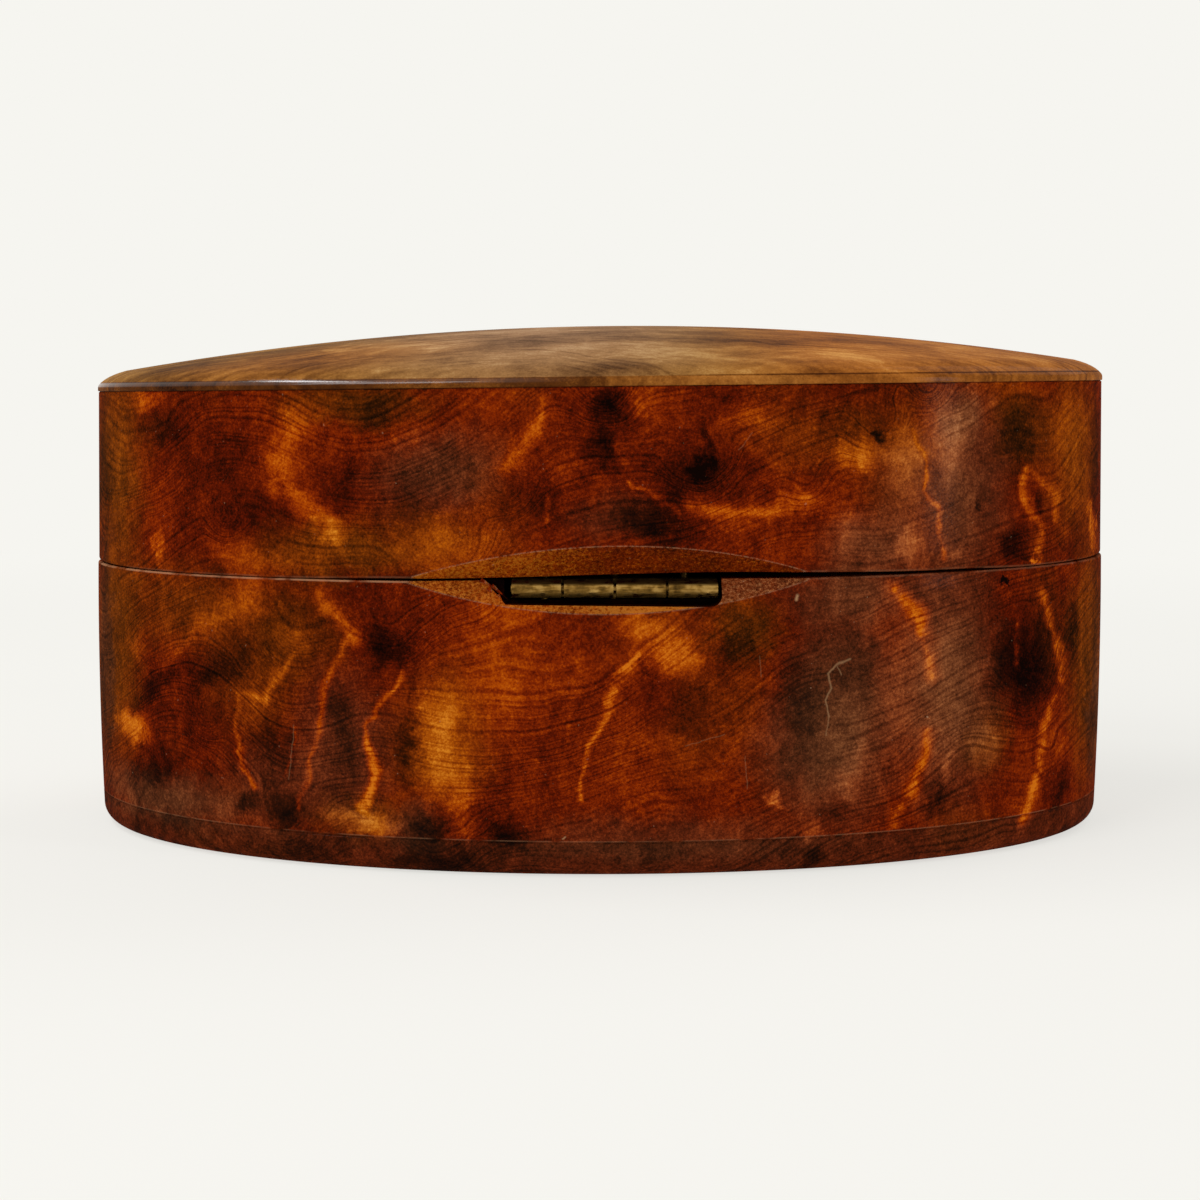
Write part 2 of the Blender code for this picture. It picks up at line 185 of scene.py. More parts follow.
def finish_piece(name, bm, body, slot, stands_for=None):
    """Turns a bmesh in millimetres into a piece in metres that rides on a body."""
    bmesh.ops.remove_doubles(bm, verts=bm.verts, dist=MERGE)
    if slot.startswith("burl"):
        for v in bm.verts:
            v.co.z -= WOOD_TILT * v.co.x * v.co.z / LID_TOP
    bmesh.ops.recalc_face_normals(bm, faces=bm.faces)
    bmesh.ops.scale(bm, vec=(mm, mm, mm), verts=bm.verts)
    piece = mesh_object(name, bm)
    piece.data.shade_smooth()
    piece.data.set_sharp_from_angle(angle=SHARP)
    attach(piece, body)
    if stands_for:
        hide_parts(stands_for)
    pieces[name] = piece
    print(f"{name}: {len(piece.data.polygons)} faces")
    return piece


# %% Cut one shape out of another
def boolean_cut(bm, cutters):
    """Takes closed cutters away from a closed shape, all in millimetres, and returns the rest."""
    blank = mesh_object("blank", bm)
    tools = []
    for cutter in cutters:
        bmesh.ops.recalc_face_normals(cutter, faces=cutter.faces)
        tool = mesh_object("tool", cutter)
        step = blank.modifiers.new("cut", "BOOLEAN")
        step.operation = "DIFFERENCE"
        step.solver = "EXACT"
        step.object = tool
        tools.append(tool)
    bpy.context.view_layer.update()
    cut_blank = blank.evaluated_get(bpy.context.evaluated_depsgraph_get())
    result = bmesh.new()
    result.from_mesh(cut_blank.to_mesh())
    cut_blank.to_mesh_clear()
    for thing in [blank, *tools]:
        bpy.data.objects.remove(thing)
    print("cut with", len(tools), "tools,", len(result.faces), "faces left")
    return result


# %% [markdown]
# ## The base plate
# The real base is a thin oval board glued under the wall, its foot rounded over by hand and
# worn by years of sliding on tables. The wall's curve runs on into its edge, so the same
# formula gives both their insets: a bow that is strongest at the table.

# %% Base plate
WALL_DRAFT = 0.9
FOOT_RADIUS = 2.0
TOP_EASE = 0.12
LAP = 0.4


def wall_inset(height):
    return WALL_DRAFT * (1 - height / SEAM) ** 2


foot = []
for a in sweep(90, 0, 10):
    z = FOOT_RADIUS * (1 - math.sin(a))
    foot.append(oval(wall_inset(z) + FOOT_RADIUS * (1 - math.cos(a)), z))
foot.append(oval(wall_inset(BASE_TOP - TOP_EASE), BASE_TOP - TOP_EASE))
foot.append(oval(wall_inset(BASE_TOP) + TOP_EASE, BASE_TOP))
foot.append(oval(WALL + LAP, BASE_TOP))
finish_piece("burl_base_plate", solid_loft(foot), "body", "burl_base", "base_plate")

# %% [markdown]
# ## The body wall
# This ring is lofted round its whole section: up the outside with its gentle bow, over the
# softened arris at the seam, across the rim and down the inside, then bridged closed.
# Behind, a slope is filed off the seam's arris so that the lid can swing back. A plane cuts
# it off here too, which gives the same long lens with its pointed ends.

# %% Body wall blank
ARRIS = 0.25
WALL_RINGS = 16
FOOT_EASE = 0.1
INNER_EASE = 0.3


def body_section():
    """The wall's section: its foot, its bowed outside, the arris and the rim."""
    low = BODY_BOTTOM + FOOT_EASE
    steps = [oval(WALL, BODY_BOTTOM), oval(wall_inset(BODY_BOTTOM) + FOOT_EASE, BODY_BOTTOM)]
    for i in range(WALL_RINGS):
        z = low + (SEAM - ARRIS - BODY_BOTTOM - FOOT_EASE) * i / WALL_RINGS
        steps.append(oval(wall_inset(z), z))
    steps += upper_arris(0, SEAM, ARRIS)
    steps += [oval(WALL - INNER_EASE, SEAM), oval(WALL, SEAM - INNER_EASE)]
    return steps


def close_ring(bm, steps):
    outer_rim, inner_rim = loft(bm, steps)
    bmesh.ops.bridge_loops(bm, edges=outer_rim + inner_rim)
    bmesh.ops.recalc_face_normals(bm, faces=bm.faces)


# %% Slopes filed off at the seam
CHAMFER_INSET = 2.6
BODY_CHAMFER = 3.3
LID_CHAMFER = 3.2


def file_slope(bm, side, seam, inset, height):
    """Cuts a sloping facet off the arris at the seam. Side is +1 at the back, -1 in front."""
    up = math.copysign(1, height)
    out = Vector((0, side * abs(height), -up * inset)).normalized()
    cut = bmesh.ops.bisect_plane(
        bm, geom=[*bm.verts, *bm.edges, *bm.faces], dist=MERGE,
        plane_co=(0, side * (HALF_DEPTH - inset), seam), plane_no=out,
        clear_outer=True,
    )
    edges = [e for e in cut["geom_cut"] if isinstance(e, bmesh.types.BMEdge)]
    bmesh.ops.edgeloop_fill(bm, edges=edges)


# %% [markdown]
# ## The slot for the hinge
# The hinge lies in a slot that was sawn and chiselled by hand. Its floor falls a little, its
# -X end is rounded where the chisel turned, and its +X end is ragged. The cutter is a block
# whose corners are moved, with one edge bevelled for the chisel's round corner. The leaf's own
# seat, behind the barrel, is a second, plain block.

# %% Slot sizes
SLOT_LEFT = AXIS.x - 11.2
SLOT_RIGHT = AXIS.x + 12.2
LEAF_EDGE = 36.02
SEAT_FLOOR = 28.7
FLOOR_LEFT = 28.12
FLOOR_RIGHT = 28.50
SAW_LEAN = 0.8
SAW_OVERRUN = 4.2
CHISEL_ROUND = 1.2
BEYOND = 3
print(f"slot from {SLOT_LEFT:.2f} to {SLOT_RIGHT:.2f} mm across")


# %% Slot cutters
def block(low, high):
    """A closed block between two corners."""
    bm = bmesh.new()
    size = Vector(high) - Vector(low)
    place = Matrix.Translation((Vector(low) + Vector(high)) / 2) @ Matrix.Diagonal((*size, 1))
    bmesh.ops.create_cube(bm, size=1.0, matrix=place)
    return bm


def barrel_slot():
    """The deep part under the barrel, open to the back."""
    low = (SLOT_LEFT, LEAF_EDGE, FLOOR_LEFT)
    bm = block(low, (SLOT_RIGHT, HALF_DEPTH + BEYOND, SEAM + BEYOND))
    for v in bm.verts:
        if v.co.x > 0 and v.co.z < SEAM:
            v.co.z = FLOOR_RIGHT
            v.co.x -= SAW_LEAN
        elif v.co.x > 0:
            v.co.x += SAW_OVERRUN
    corner = [
        e for e in bm.edges
        if all(v.co.z < SEAM and v.co.x < 0 for v in e.verts)
    ]
    bmesh.ops.bevel(
        bm, geom=corner, offset=CHISEL_ROUND, segments=5, profile=0.5, affect="EDGES", material=-1,
    )
    return bm


def leaf_seat():
    """The shallow bed under the leaf, open to the inside."""
    low = (SLOT_LEFT + 0.1, 28.0, SEAT_FLOOR)
    return block(low, (SLOT_RIGHT - 0.6, LEAF_EDGE + 0.5, SEAM + BEYOND))


# %% Nail holes
NAIL_PITCH = 7.4
NAIL_XS = (AXIS.x - NAIL_PITCH, AXIS.x, AXIS.x + NAIL_PITCH)
NAIL_Y = AXIS.y - 2.6
NAIL_HOLE = 0.45
HOLE_DEPTH = 6


def nail_hole(x, low, high):
    """A round tool for one nail hole, between two heights."""
    bm = bmesh.new()
    place = Matrix.Translation((x, NAIL_Y, (low + high) / 2))
    bmesh.ops.create_cone(
        bm, cap_ends=True, segments=20, radius1=NAIL_HOLE, radius2=NAIL_HOLE,
        depth=high - low, matrix=place,
    )
    return bm


print("nails at", [round(x, 2) for x in NAIL_XS])


# %% Build the body wall
bm = bmesh.new()
close_ring(bm, body_section())
file_slope(bm, 1, SEAM, CHAMFER_INSET, -BODY_CHAMFER)
holes = [nail_hole(x, SEAT_FLOOR - HOLE_DEPTH, SEAM) for x in NAIL_XS]
bm = boolean_cut(bm, [barrel_slot(), leaf_seat(), *holes])
finish_piece("burl_body_wall", bm, "body", "burl_wall", "body_wall")

# %% [markdown]
# ## The lid wall
# The lid's ring is made the same way. It is almost straight, and leans in a hair at the seam.
# The wood has moved since it was made: at the back the lid's lower edge has crept up and leaves
# a gap, widest at the hinge's -X end, and towards both ends of the box the seam is all but shut.
# Two slopes are filed off its lower arris: the hinge side's, which meets the body's slope when
# the lid is thrown open, and a shallow scoop in front for a thumb.

# %% Lid wall section
LID_DRAFT = 0.1
LID_RINGS = 10
LID_EASE = 0.06
lid_steps = [oval(WALL, LID_SEAM + INNER_EASE), oval(WALL - INNER_EASE, LID_SEAM)]
lid_steps += lower_arris(LID_DRAFT, LID_SEAM, ARRIS)
straight_height = LID_TOP - LID_EASE - LID_SEAM - ARRIS
for i in range(1, LID_RINGS + 1):
    share = i / LID_RINGS
    lid_steps.append(oval(LID_DRAFT * (1 - share), LID_SEAM + ARRIS + straight_height * share))
lid_steps += [oval(LID_EASE, LID_TOP), oval(WALL, LID_TOP)]
print("lid wall:", len(lid_steps), "steps")


# %% The lid's lower edge has moved
WARP_REACH = 8.0
WARP_FADE = 25
SHUT = -0.24
WARP_STEPS = [
    # from x, to x, how much the edge climbs on the way
    (34, 22, 0.20), (18, -12, 0.46), (-13, -36, -0.42), (-37, -47, -0.24),
]


def warp_up(x):
    """How far the lid's lower edge stands above its true place at the hinge side."""
    total = SHUT
    for first, last, climb in WARP_STEPS:
        share = min(max((x - first) / (last - first), 0.0), 1.0)
        total += climb * share * share * (3 - 2 * share)
    return total


def warp_lid(bm):
    for v in bm.verts:
        if v.co.y > 0:
            share = max(1 - (v.co.z - LID_SEAM) / WARP_REACH, 0) * min(v.co.y / WARP_FADE, 1)
            v.co.z += warp_up(v.co.x) * share


print("gap at the seam", [round(LID_SEAM - SEAM + warp_up(x), 2) for x in (50, 20, 0, -12, -30, -50)])

# %% Build the lid wall
THUMB_INSET = 1.0
THUMB_HEIGHT = 2.6
SCORED = range(-20, 21, 4)


def cross_cut(bm, places):
    """Scores the hinge side across, so that a long straight face can bend."""
    for x in places:
        middles = [(f, f.calc_center_median()) for f in bm.faces]
        faces = [f for f, middle in middles if middle.y > 25 and abs(middle.x) < 40]
        edges = {e for f in faces for e in f.edges}
        verts = {v for f in faces for v in f.verts}
        bmesh.ops.bisect_plane(
            bm, geom=[*verts, *edges, *faces], dist=MERGE, plane_co=(x, 0, 0), plane_no=(1, 0, 0),
        )


bm = bmesh.new()
close_ring(bm, lid_steps)
file_slope(bm, 1, LID_SEAM, CHAMFER_INSET, LID_CHAMFER)
file_slope(bm, -1, LID_SEAM, THUMB_INSET, THUMB_HEIGHT)
cross_cut(bm, SCORED)
warp_lid(bm)
holes = [nail_hole(x, SEAM, LID_SEAM + HOLE_DEPTH) for x in NAIL_XS]
bm = boolean_cut(bm, holes)
finish_piece("burl_lid_wall", bm, "lid", "burl_wall", "lid_wall")

# %% [markdown]
# ## The crowned lid panel
# The panel is a solid board, flat below and planed to a low dome above. Its edge stands a hair
# proud of the wall, goes straight up for half a millimetre, turns over quickly and runs into a
# steeper shoulder. The dome is a paraboloid, so each rim's height follows from its size.

# %% Lid panel
CROWN_RINGS = 28
CROWN_CAP = (0.6, 0.4)
PANEL_EDGE = [
    # how far in, how high above the panel's underside
    (-0.02, 0.0), (-0.1, 0.08), (-0.1, 0.48), (-0.06, 0.64), (0.02, 0.78), (0.14, 0.9),
    (0.3, 1.08), (0.7, 1.40), (1.2, 1.70), (1.8, 1.98), (2.4, 2.20), (3.2, 2.44),
]
panel_steps = [oval(inset, PANEL_BOTTOM + height) for inset, height in PANEL_EDGE]
shoulder = panel_steps[-1]
# The tilt lifts the dome's -X side a little, so its top starts that much lower.
CROWN_TOP = SUMMIT - 0.05
CROWN_RISE = CROWN_TOP - shoulder[2]
for i in range(1, CROWN_RINGS):
    share = 1 - i / CROWN_RINGS
    height = shoulder[2] + CROWN_RISE * (1 - share ** 2)
    panel_steps.append((shoulder[0] * share, shoulder[1] * share, height))
panel_steps.append((*CROWN_CAP, CROWN_TOP))
finish_piece("burl_lid_panel", solid_loft(panel_steps), "lid", "burl_panel", "lid_panel")

# %% [markdown]
# ## Glue lines
# Where the boards meet, old glue and wax fill the joint almost flush. Without them the CAD
# gap would show as a black slit all round. Each is a thin oval washer, set back a hair from
# the face of the wood.

# %% Glue lines
def glue_line(name, body, low, high, inset, slot):
    bm = bmesh.new()
    steps = [oval(WALL - 1, low), oval(inset, low), oval(inset, high), oval(WALL - 1, high)]
    close_ring(bm, steps)
    finish_piece(name, bm, body, slot)


glue_line("base_glue_line", "body", BASE_TOP, BODY_BOTTOM, wall_inset(BODY_BOTTOM) + 0.07, "burl_base")
glue_line("panel_glue_line", "lid", LID_TOP, PANEL_BOTTOM, 0.1, "burl_panel")

# %% [markdown]
# ## The hinge
# A butt hinge of this size is cut from one strip of brass. Each leaf is a flat plate with tabs
# on its edge, and every tab is rolled round the pin. The rolling is a spin: the tab's end face
# is turned about the pin's axis. The plate is scored across at the knuckles' ends first, so
# that the tabs are faces of their own.

# %% Knuckle places
HINGE_LENGTH = 21.6
KNUCKLE_GAP = 0.3
KNUCKLES = 4
LEAF_THICKNESS = 0.45
LEAF_REACH = 4.0
BORE = 0.5
BARREL = BORE + LEAF_THICKNESS
ROLL = math.radians(292)
pitch = (HINGE_LENGTH + KNUCKLE_GAP) / KNUCKLES
knuckle_starts = [AXIS.x - HINGE_LENGTH / 2 + i * pitch for i in range(KNUCKLES)]
knuckle_ends = [x + pitch - KNUCKLE_GAP for x in knuckle_starts]
print(f"barrel radius {BARREL:.2f} mm, knuckles {pitch - KNUCKLE_GAP:.2f} mm wide")


# %% Roll the leaves
def roll_tab(bm, tab, side):
    """Draws a tab's end face out over the pin's axis and spins it round the pin."""
    drawn = bmesh.ops.extrude_face_region(bm, geom=[tab])["geom"]
    points = [v for v in drawn if isinstance(v, bmesh.types.BMVert)]
    bmesh.ops.translate(bm, vec=(0, AXIS.y - LEAF_EDGE, 0), verts=points)
    tip = [f for f in drawn if isinstance(f, bmesh.types.BMFace)]
    bmesh.ops.spin(
        bm, geom=tip, cent=AXIS, axis=(-side, 0, 0), angle=ROLL, steps=36,
        use_merge=False, use_duplicate=False,
    )
    bmesh.ops.delete(bm, geom=[tab, *tip], context="FACES_ONLY")


def leaf(side, first):
    """One leaf. Side is +1 for the lid's leaf, above the pin, and -1 for the body's, below."""
    near = AXIS.z + side * BORE
    far = AXIS.z + side * BARREL
    half = HINGE_LENGTH / 2
    low = (AXIS.x - half, AXIS.y - LEAF_REACH, min(near, far))
    high = (AXIS.x + half, LEAF_EDGE, max(near, far))
    bm = block(low, high)
    for x in knuckle_starts[1:] + knuckle_ends[:-1]:
        bmesh.ops.bisect_plane(
            bm, geom=[*bm.verts, *bm.edges, *bm.faces], dist=MERGE,
            plane_co=(x, 0, 0), plane_no=(1, 0, 0),
        )
    edge_faces = [f for f in bm.faces if all(abs(v.co.y - LEAF_EDGE) < 0.001 for v in f.verts)]
    edge_faces.sort(key=lambda f: f.calc_center_median().x)
    for tab in edge_faces[2 * first::4]:
        roll_tab(bm, tab, side)
    return bm


# %% Build the leaves
def leaf_nail_hole(x, side):
    z = AXIS.z + side * (BORE + LEAF_THICKNESS / 2)
    return nail_hole(x, z - LEAF_THICKNESS, z + LEAF_THICKNESS)


lid_leaf = boolean_cut(leaf(1, 0), [leaf_nail_hole(x, 1) for x in NAIL_XS])
body_leaf = boolean_cut(leaf(-1, 1), [leaf_nail_hole(x, -1) for x in NAIL_XS])


def soften(piece, width, segments=2, angle=40):
    """Rounds a piece's sharp edges over, as years of handling do."""
    step = piece.modifiers.new("soften", "BEVEL")
    step.width = width * mm
    step.segments = segments
    step.limit_method = "ANGLE"
    step.angle_limit = math.radians(angle)
    step.harden_normals = True


LEAF_ROUNDING = 0.07
soften(finish_piece("brass_lid_leaf", lid_leaf, "lid", "aged_brass", "lid_hinge_leaf"), LEAF_ROUNDING)
soften(finish_piece("brass_body_leaf", body_leaf, "body", "aged_brass", "body_hinge_leaf"), LEAF_ROUNDING)

# %% [markdown]
# ## Pin and nails
# The pin is a length of brass wire with its cut ends dressed round. The nails are small drawn
# pins with low domed heads. Each is lofted from rims like the woodwork, only round.

# %% Hinge pin
PIN_RADIUS = 0.41
PIN_ROUNDING = 0.1
PIN_SIDES = 32
turn = Matrix.Translation(AXIS) @ Matrix.Rotation(math.radians(90), 4, "Y")
pin_half = (pin_high.x - pin_low.x) / 2
pin_steps = []
for a in sweep(0, 90, 4):
    radius = PIN_RADIUS - PIN_ROUNDING * (1 - math.sin(a))
    pin_steps.append((radius, radius, PIN_ROUNDING * (1 - math.cos(a)) - pin_half))
pin_steps += [(r, s, -z) for r, s, z in reversed(pin_steps)]
bm = solid_loft(pin_steps, PIN_SIDES)
bmesh.ops.transform(bm, matrix=turn, verts=bm.verts)
finish_piece("brass_hinge_pin", bm, "body", "aged_brass", "hinge_pin")

# %% Nails
NAIL_HEAD = 0.8
NAIL_DOME = 0.24
NAIL_SHANK = 0.4
NAIL_TIP = 0.06
NAIL_LENGTH = 6.0
NAIL_SIDES = 24


def nail(name, x, side, body):
    """A nail that points up for side +1 and down for -1."""
    steps = []
    for a in sweep(80, 0, 6):
        radius = NAIL_HEAD * math.cos(a)
        steps.append((radius, radius, -NAIL_DOME * math.sin(a)))
    steps += [(NAIL_SHANK, NAIL_SHANK, 0.0), (NAIL_SHANK, NAIL_SHANK, NAIL_LENGTH - 1)]
    steps.append((NAIL_TIP, NAIL_TIP, NAIL_LENGTH))
    bm = solid_loft(steps, NAIL_SIDES)
    seat = AXIS.z + side * (BORE - 0.1)
    place = Matrix.Translation((x, NAIL_Y, seat)) @ Matrix.Diagonal((1, 1, side, 1))
    bmesh.ops.transform(bm, matrix=place, verts=bm.verts)
    finish_piece("brass_" + name, bm, body, "aged_brass", name)


for number, x in enumerate(NAIL_XS, 1):
    nail(f"lid_hinge_nail_{number}", x, 1, "lid")
    nail(f"body_hinge_nail_{number}", x, -1, "body")

# %% [markdown]
# ## Splinters at the slot's ragged end
# Where the saw ran past the hinge, the end grain tore, and a few slivers still stand in the
# slot. Each is a long, thin four-sided cone, tilted across the gap.

# %% Splinters
SPLINTERS = [
    # x, z, tilt in degrees, length, width
    (12.1, 30.15, -122, 3.0, 0.55),
    (11.3, 29.65, -132, 2.3, 0.42),
    (11.9, 29.35, -142, 2.2, 0.60),
    (12.8, 30.40, -112, 2.0, 0.44),
    (11.2, 28.95, -150, 1.3, 0.40),
]
SPLINTER_BACK = 36.88
bm = bmesh.new()
for x, z, tilt, length, width in SPLINTERS:
    place = (
        Matrix.Translation((x, SPLINTER_BACK + (SEAM - z) * CHAMFER_INSET / BODY_CHAMFER, z))
        @ Matrix.Rotation(math.radians(tilt), 4, "Y")
        @ Matrix.Diagonal((1, 1.1, 1, 1))
    )
    bmesh.ops.create_cone(
        bm, cap_ends=True, segments=4, radius1=width / 2, radius2=0.03, depth=length, matrix=place,
    )
finish_piece("slot_splinters", bm, "body", "burl_wall")

# %% [markdown]
# ## Building blocks for the materials
# All the finishes are node trees on Object coordinates, so the wood's figure runs through the
# solid as it does in a real block. A few short helpers keep the trees readable: one adds a node,
# one does sums, one mixes two colours and one makes a soft step.

# %% Node helpers
def add(tree, kind, inputs=None, **settings):
    """Adds a shader node. Inputs may be numbers, or outputs of other nodes to link."""
    made = tree.nodes.new("ShaderNode" + kind)
    for name, value in settings.items():
        setattr(made, name, value)
    for key, value in (inputs or {}).items():
        if isinstance(value, bpy.types.NodeSocket):
            tree.links.new(value, made.inputs[key])
        else:
            made.inputs[key].default_value = value
    return made


def calc(tree, operation, *values, clamp=False):
    return add(tree, "Math", dict(enumerate(values)), operation=operation, use_clamp=clamp).outputs[0]


def vector(tree, operation, *values, output=0):
    return add(tree, "VectorMath", dict(enumerate(values)), operation=operation).outputs[output]


def soft_step(tree, value, low, high):
    """0 below low, 1 above high, smooth between. Low may lie above high."""
    inputs = {"Value": value, "From Min": low, "From Max": high}
    return add(tree, "MapRange", inputs, interpolation_type="SMOOTHSTEP").outputs["Result"]


def mixed(tree, mask, first, second):
    """Two colours, mixed."""
    return add(tree, "Mix", {0: mask, 6: first, 7: second}, data_type="RGBA").outputs[2]


def between(tree, share, first, second):
    """Two numbers, mixed."""
    return add(tree, "Mix", {0: share, 2: first, 3: second}, data_type="FLOAT").outputs[0]


def part_of(tree, place, axis):
    return add(tree, "SeparateXYZ", {0: place}).outputs[axis]


def joined(tree, **parts):
    return add(tree, "CombineXYZ", parts).outputs[0]


def sized(tree, place, amount):
    """A vector, times a number."""
    return add(tree, "VectorMath", {0: place, "Scale": amount}, operation="SCALE").outputs[0]


# %% Texture helpers
def noise(tree, position, size, detail=2.0, roughness=0.5, distortion=0.0, colour=False):
    """Cloudy noise with blobs about size millimetres across."""
    inputs = {
        "Vector": position, "Scale": 1 / size, "Detail": detail,
        "Roughness": roughness, "Distortion": distortion,
    }
    made = add(tree, "TexNoise", inputs)
    return made.outputs["Color" if colour else "Fac"]


def colour_ramp(tree, value, stops):
    made = add(tree, "ValToRGB", {"Fac": value})
    ramp = made.color_ramp
    while len(ramp.elements) < len(stops):
        ramp.elements.new(0.5)
    for element, (place, colour) in zip(ramp.elements, stops):
        element.position = place
        element.color = (*colour, 1)
    return made.outputs["Color"]


def tell(label, tree):
    """Prints how many nodes a group or a material has."""
    print(f"{label}: {len(tree.nodes)} nodes")


# %% Group helpers
SOCKETS = {"value": "NodeSocketFloat", "vector": "NodeSocketVector", "colour": "NodeSocketColor"}


def new_group(name, inputs, outputs):
    """A shader node group with named inputs and outputs."""
    tree = bpy.data.node_groups.new(name, "ShaderNodeTree")
    for label, kind, default in inputs:
        socket = tree.interface.new_socket(name=label, in_out="INPUT", socket_type=SOCKETS[kind])
        if default is not None:
            socket.default_value = default
    for label, kind in outputs:
        tree.interface.new_socket(name=label, in_out="OUTPUT", socket_type=SOCKETS[kind])
    inside = tree.nodes.new("NodeGroupInput").outputs
    outside = tree.nodes.new("NodeGroupOutput").inputs
    return tree, inside, outside


def place_group(tree, group, **inputs):
    made = tree.nodes.new("ShaderNodeGroup")
    made.node_tree = group
    for label, value in inputs.items():
        key = label.replace("_", " ")
        if isinstance(value, bpy.types.NodeSocket):
            tree.links.new(value, made.inputs[key])
        else:
            made.inputs[key].default_value = value
    return made.outputs


# %% [markdown]
# ## One patch of figure
# Burl is full of flames and shadows with no order to them, so the show side of this box is
# composed from a list of patches. The brush for that is a group: a soft oval patch with a centre,
# a size and a lean. It works in millimetres on the wall's own plane, so it looks the same however
# deep into the wood it is cut.

# %% Figure patch group
patch_group, inside, outside = new_group(
    "Figure Patch",
    [
        ("Position", "vector", None), ("Centre", "vector", (0, 0, 0)),
        ("Half Size", "vector", (5, 1000, 5)), ("Lean", "value", 0.0), ("Softness", "value", 0.8),
    ],
    [("Mask", "value")],
)
tree = patch_group
moved = vector(tree, "SUBTRACT", inside["Position"], inside["Centre"])
turned = add(
    tree, "VectorRotate", {"Vector": moved, "Angle": inside["Lean"]}, rotation_type="Y_AXIS",
).outputs[0]
scaled = vector(tree, "DIVIDE", turned, inside["Half Size"])
reach = vector(tree, "LENGTH", scaled, output="Value")
core = calc(tree, "SUBTRACT", 1.0, inside["Softness"])
tree.links.new(soft_step(tree, reach, 1.0, core), outside["Mask"])
tell("Figure Patch", tree)

# %% [markdown]
# ## One vein
# Bright threads run through the figure where the fibres turn towards the light. A vein is the
# distance to a straight stretch, and a few stretches joined make a wandering line.

# %% Vein group
vein_group, inside, outside = new_group(
    "Figure Vein",
    [
        ("Position", "vector", None), ("Start", "vector", (0, 0, 0)),
        ("Direction", "vector", (0, 0, 1)), ("Length", "value", 1.0), ("Width", "value", 0.6),
    ],
    [("Mask", "value")],
)
tree = vein_group
out = vector(tree, "SUBTRACT", inside["Position"], inside["Start"])
flat = vector(tree, "MULTIPLY", out, (1, 0, 1))
along = vector(tree, "DOT_PRODUCT", flat, inside["Direction"], output="Value")
along = calc(tree, "MINIMUM", calc(tree, "MAXIMUM", along, 0.0), inside["Length"])
nearest = sized(tree, inside["Direction"], along)
gap = vector(tree, "DISTANCE", flat, nearest, output="Value")
glow = soft_step(tree, gap, inside["Width"], 0.0)
peaked = calc(tree, "MULTIPLY_ADD", glow, 0.5, 0.5)
tree.links.new(calc(tree, "MULTIPLY", glow, peaked), outside["Mask"])
tell("Figure Vein", tree)

# %% [markdown]
# ## The block of burl
# This group is the wood itself, on every side of the box. A slow cloud gives the light and dark
# of the burl, ridges in a second cloud give flames, and a scatter of cells gives the small
# eyes. The growth rings are the level lines of a height field: bumps in the field turn straight
# rings into the arches and festoons of burl. A fine mottle stands for pores.

# %% Burl group
CLOUD_SIZE = 17
FLAME_SIZE = 11
EYE_SPACING = 15
EYE_BUMP = 5.0
PORE_SIZE = 0.26
burl_group, inside, outside = new_group(
    "Burl Wood",
    [
        ("Position", "vector", None), ("Field", "value", 0.0), ("Ring Width", "value", 0.8),
        ("Eyes", "value", 1.0),
    ],
    [("Cloud", "value"), ("Flame", "value"), ("Eye", "value"), ("Rings", "value"), ("Mottle", "value")],
)
tree = burl_group
position = inside["Position"]
cloud = noise(tree, position, CLOUD_SIZE, detail=3, roughness=0.55, distortion=0.6)
tree.links.new(cloud, outside["Cloud"])
stretched = vector(tree, "MULTIPLY", position, (1.0, 1.0, 0.45))
ridge = noise(tree, stretched, FLAME_SIZE, detail=2, roughness=0.5, distortion=1.2)
ridge = calc(tree, "ABSOLUTE", calc(tree, "SUBTRACT", ridge, 0.5))
tree.links.new(soft_step(tree, ridge, 0.09, 0.0), outside["Flame"])

cells = add(tree, "TexVoronoi", {"Vector": position, "Scale": 1 / EYE_SPACING, "Randomness": 1.0})
eye = soft_step(tree, cells.outputs["Distance"], 0.26, 0.03)
lucky = add(tree, "SeparateColor", {0: cells.outputs["Color"]}).outputs[0]
chosen = calc(tree, "MULTIPLY", soft_step(tree, lucky, 0.55, 0.7), inside["Eyes"])
eye = calc(tree, "MULTIPLY", eye, chosen)
tree.links.new(eye, outside["Eye"])

# %% Rings and pores of the burl
SLOW_BUMPS = 22.0
QUICK_BUMPS = 1.3
slow = noise(tree, position, 30, detail=1, roughness=0.4)
quick = noise(tree, position, 6, detail=1, roughness=0.4)
height = calc(tree, "MULTIPLY_ADD", slow, SLOW_BUMPS, inside["Field"])
height = calc(tree, "MULTIPLY_ADD", quick, QUICK_BUMPS, height)
height = calc(tree, "MULTIPLY_ADD", eye, EYE_BUMP, height)
ring_place = calc(tree, "DIVIDE", height, inside["Ring Width"])
ring = add(
    tree, "TexNoise", {"W": ring_place, "Scale": 1.0, "Detail": 1.0, "Roughness": 0.5},
    noise_dimensions="1D",
).outputs["Fac"]
ring = calc(tree, "MINIMUM", calc(tree, "SUBTRACT", ring, 0.5), 0.12)
fade = soft_step(tree, noise(tree, position, 9, detail=1), 0.3, 0.6)
tree.links.new(calc(tree, "MULTIPLY", ring, calc(tree, "ADD", fade, 0.25)), outside["Rings"])
fine = noise(tree, position, PORE_SIZE, detail=2, roughness=0.8)
coarse = noise(tree, position, 0.9, detail=2, roughness=0.6)
mottle = calc(tree, "SUBTRACT", calc(tree, "MULTIPLY_ADD", coarse, 0.45, fine), 0.725)
tree.links.new(mottle, outside["Mottle"])
tell("Burl Wood", tree)
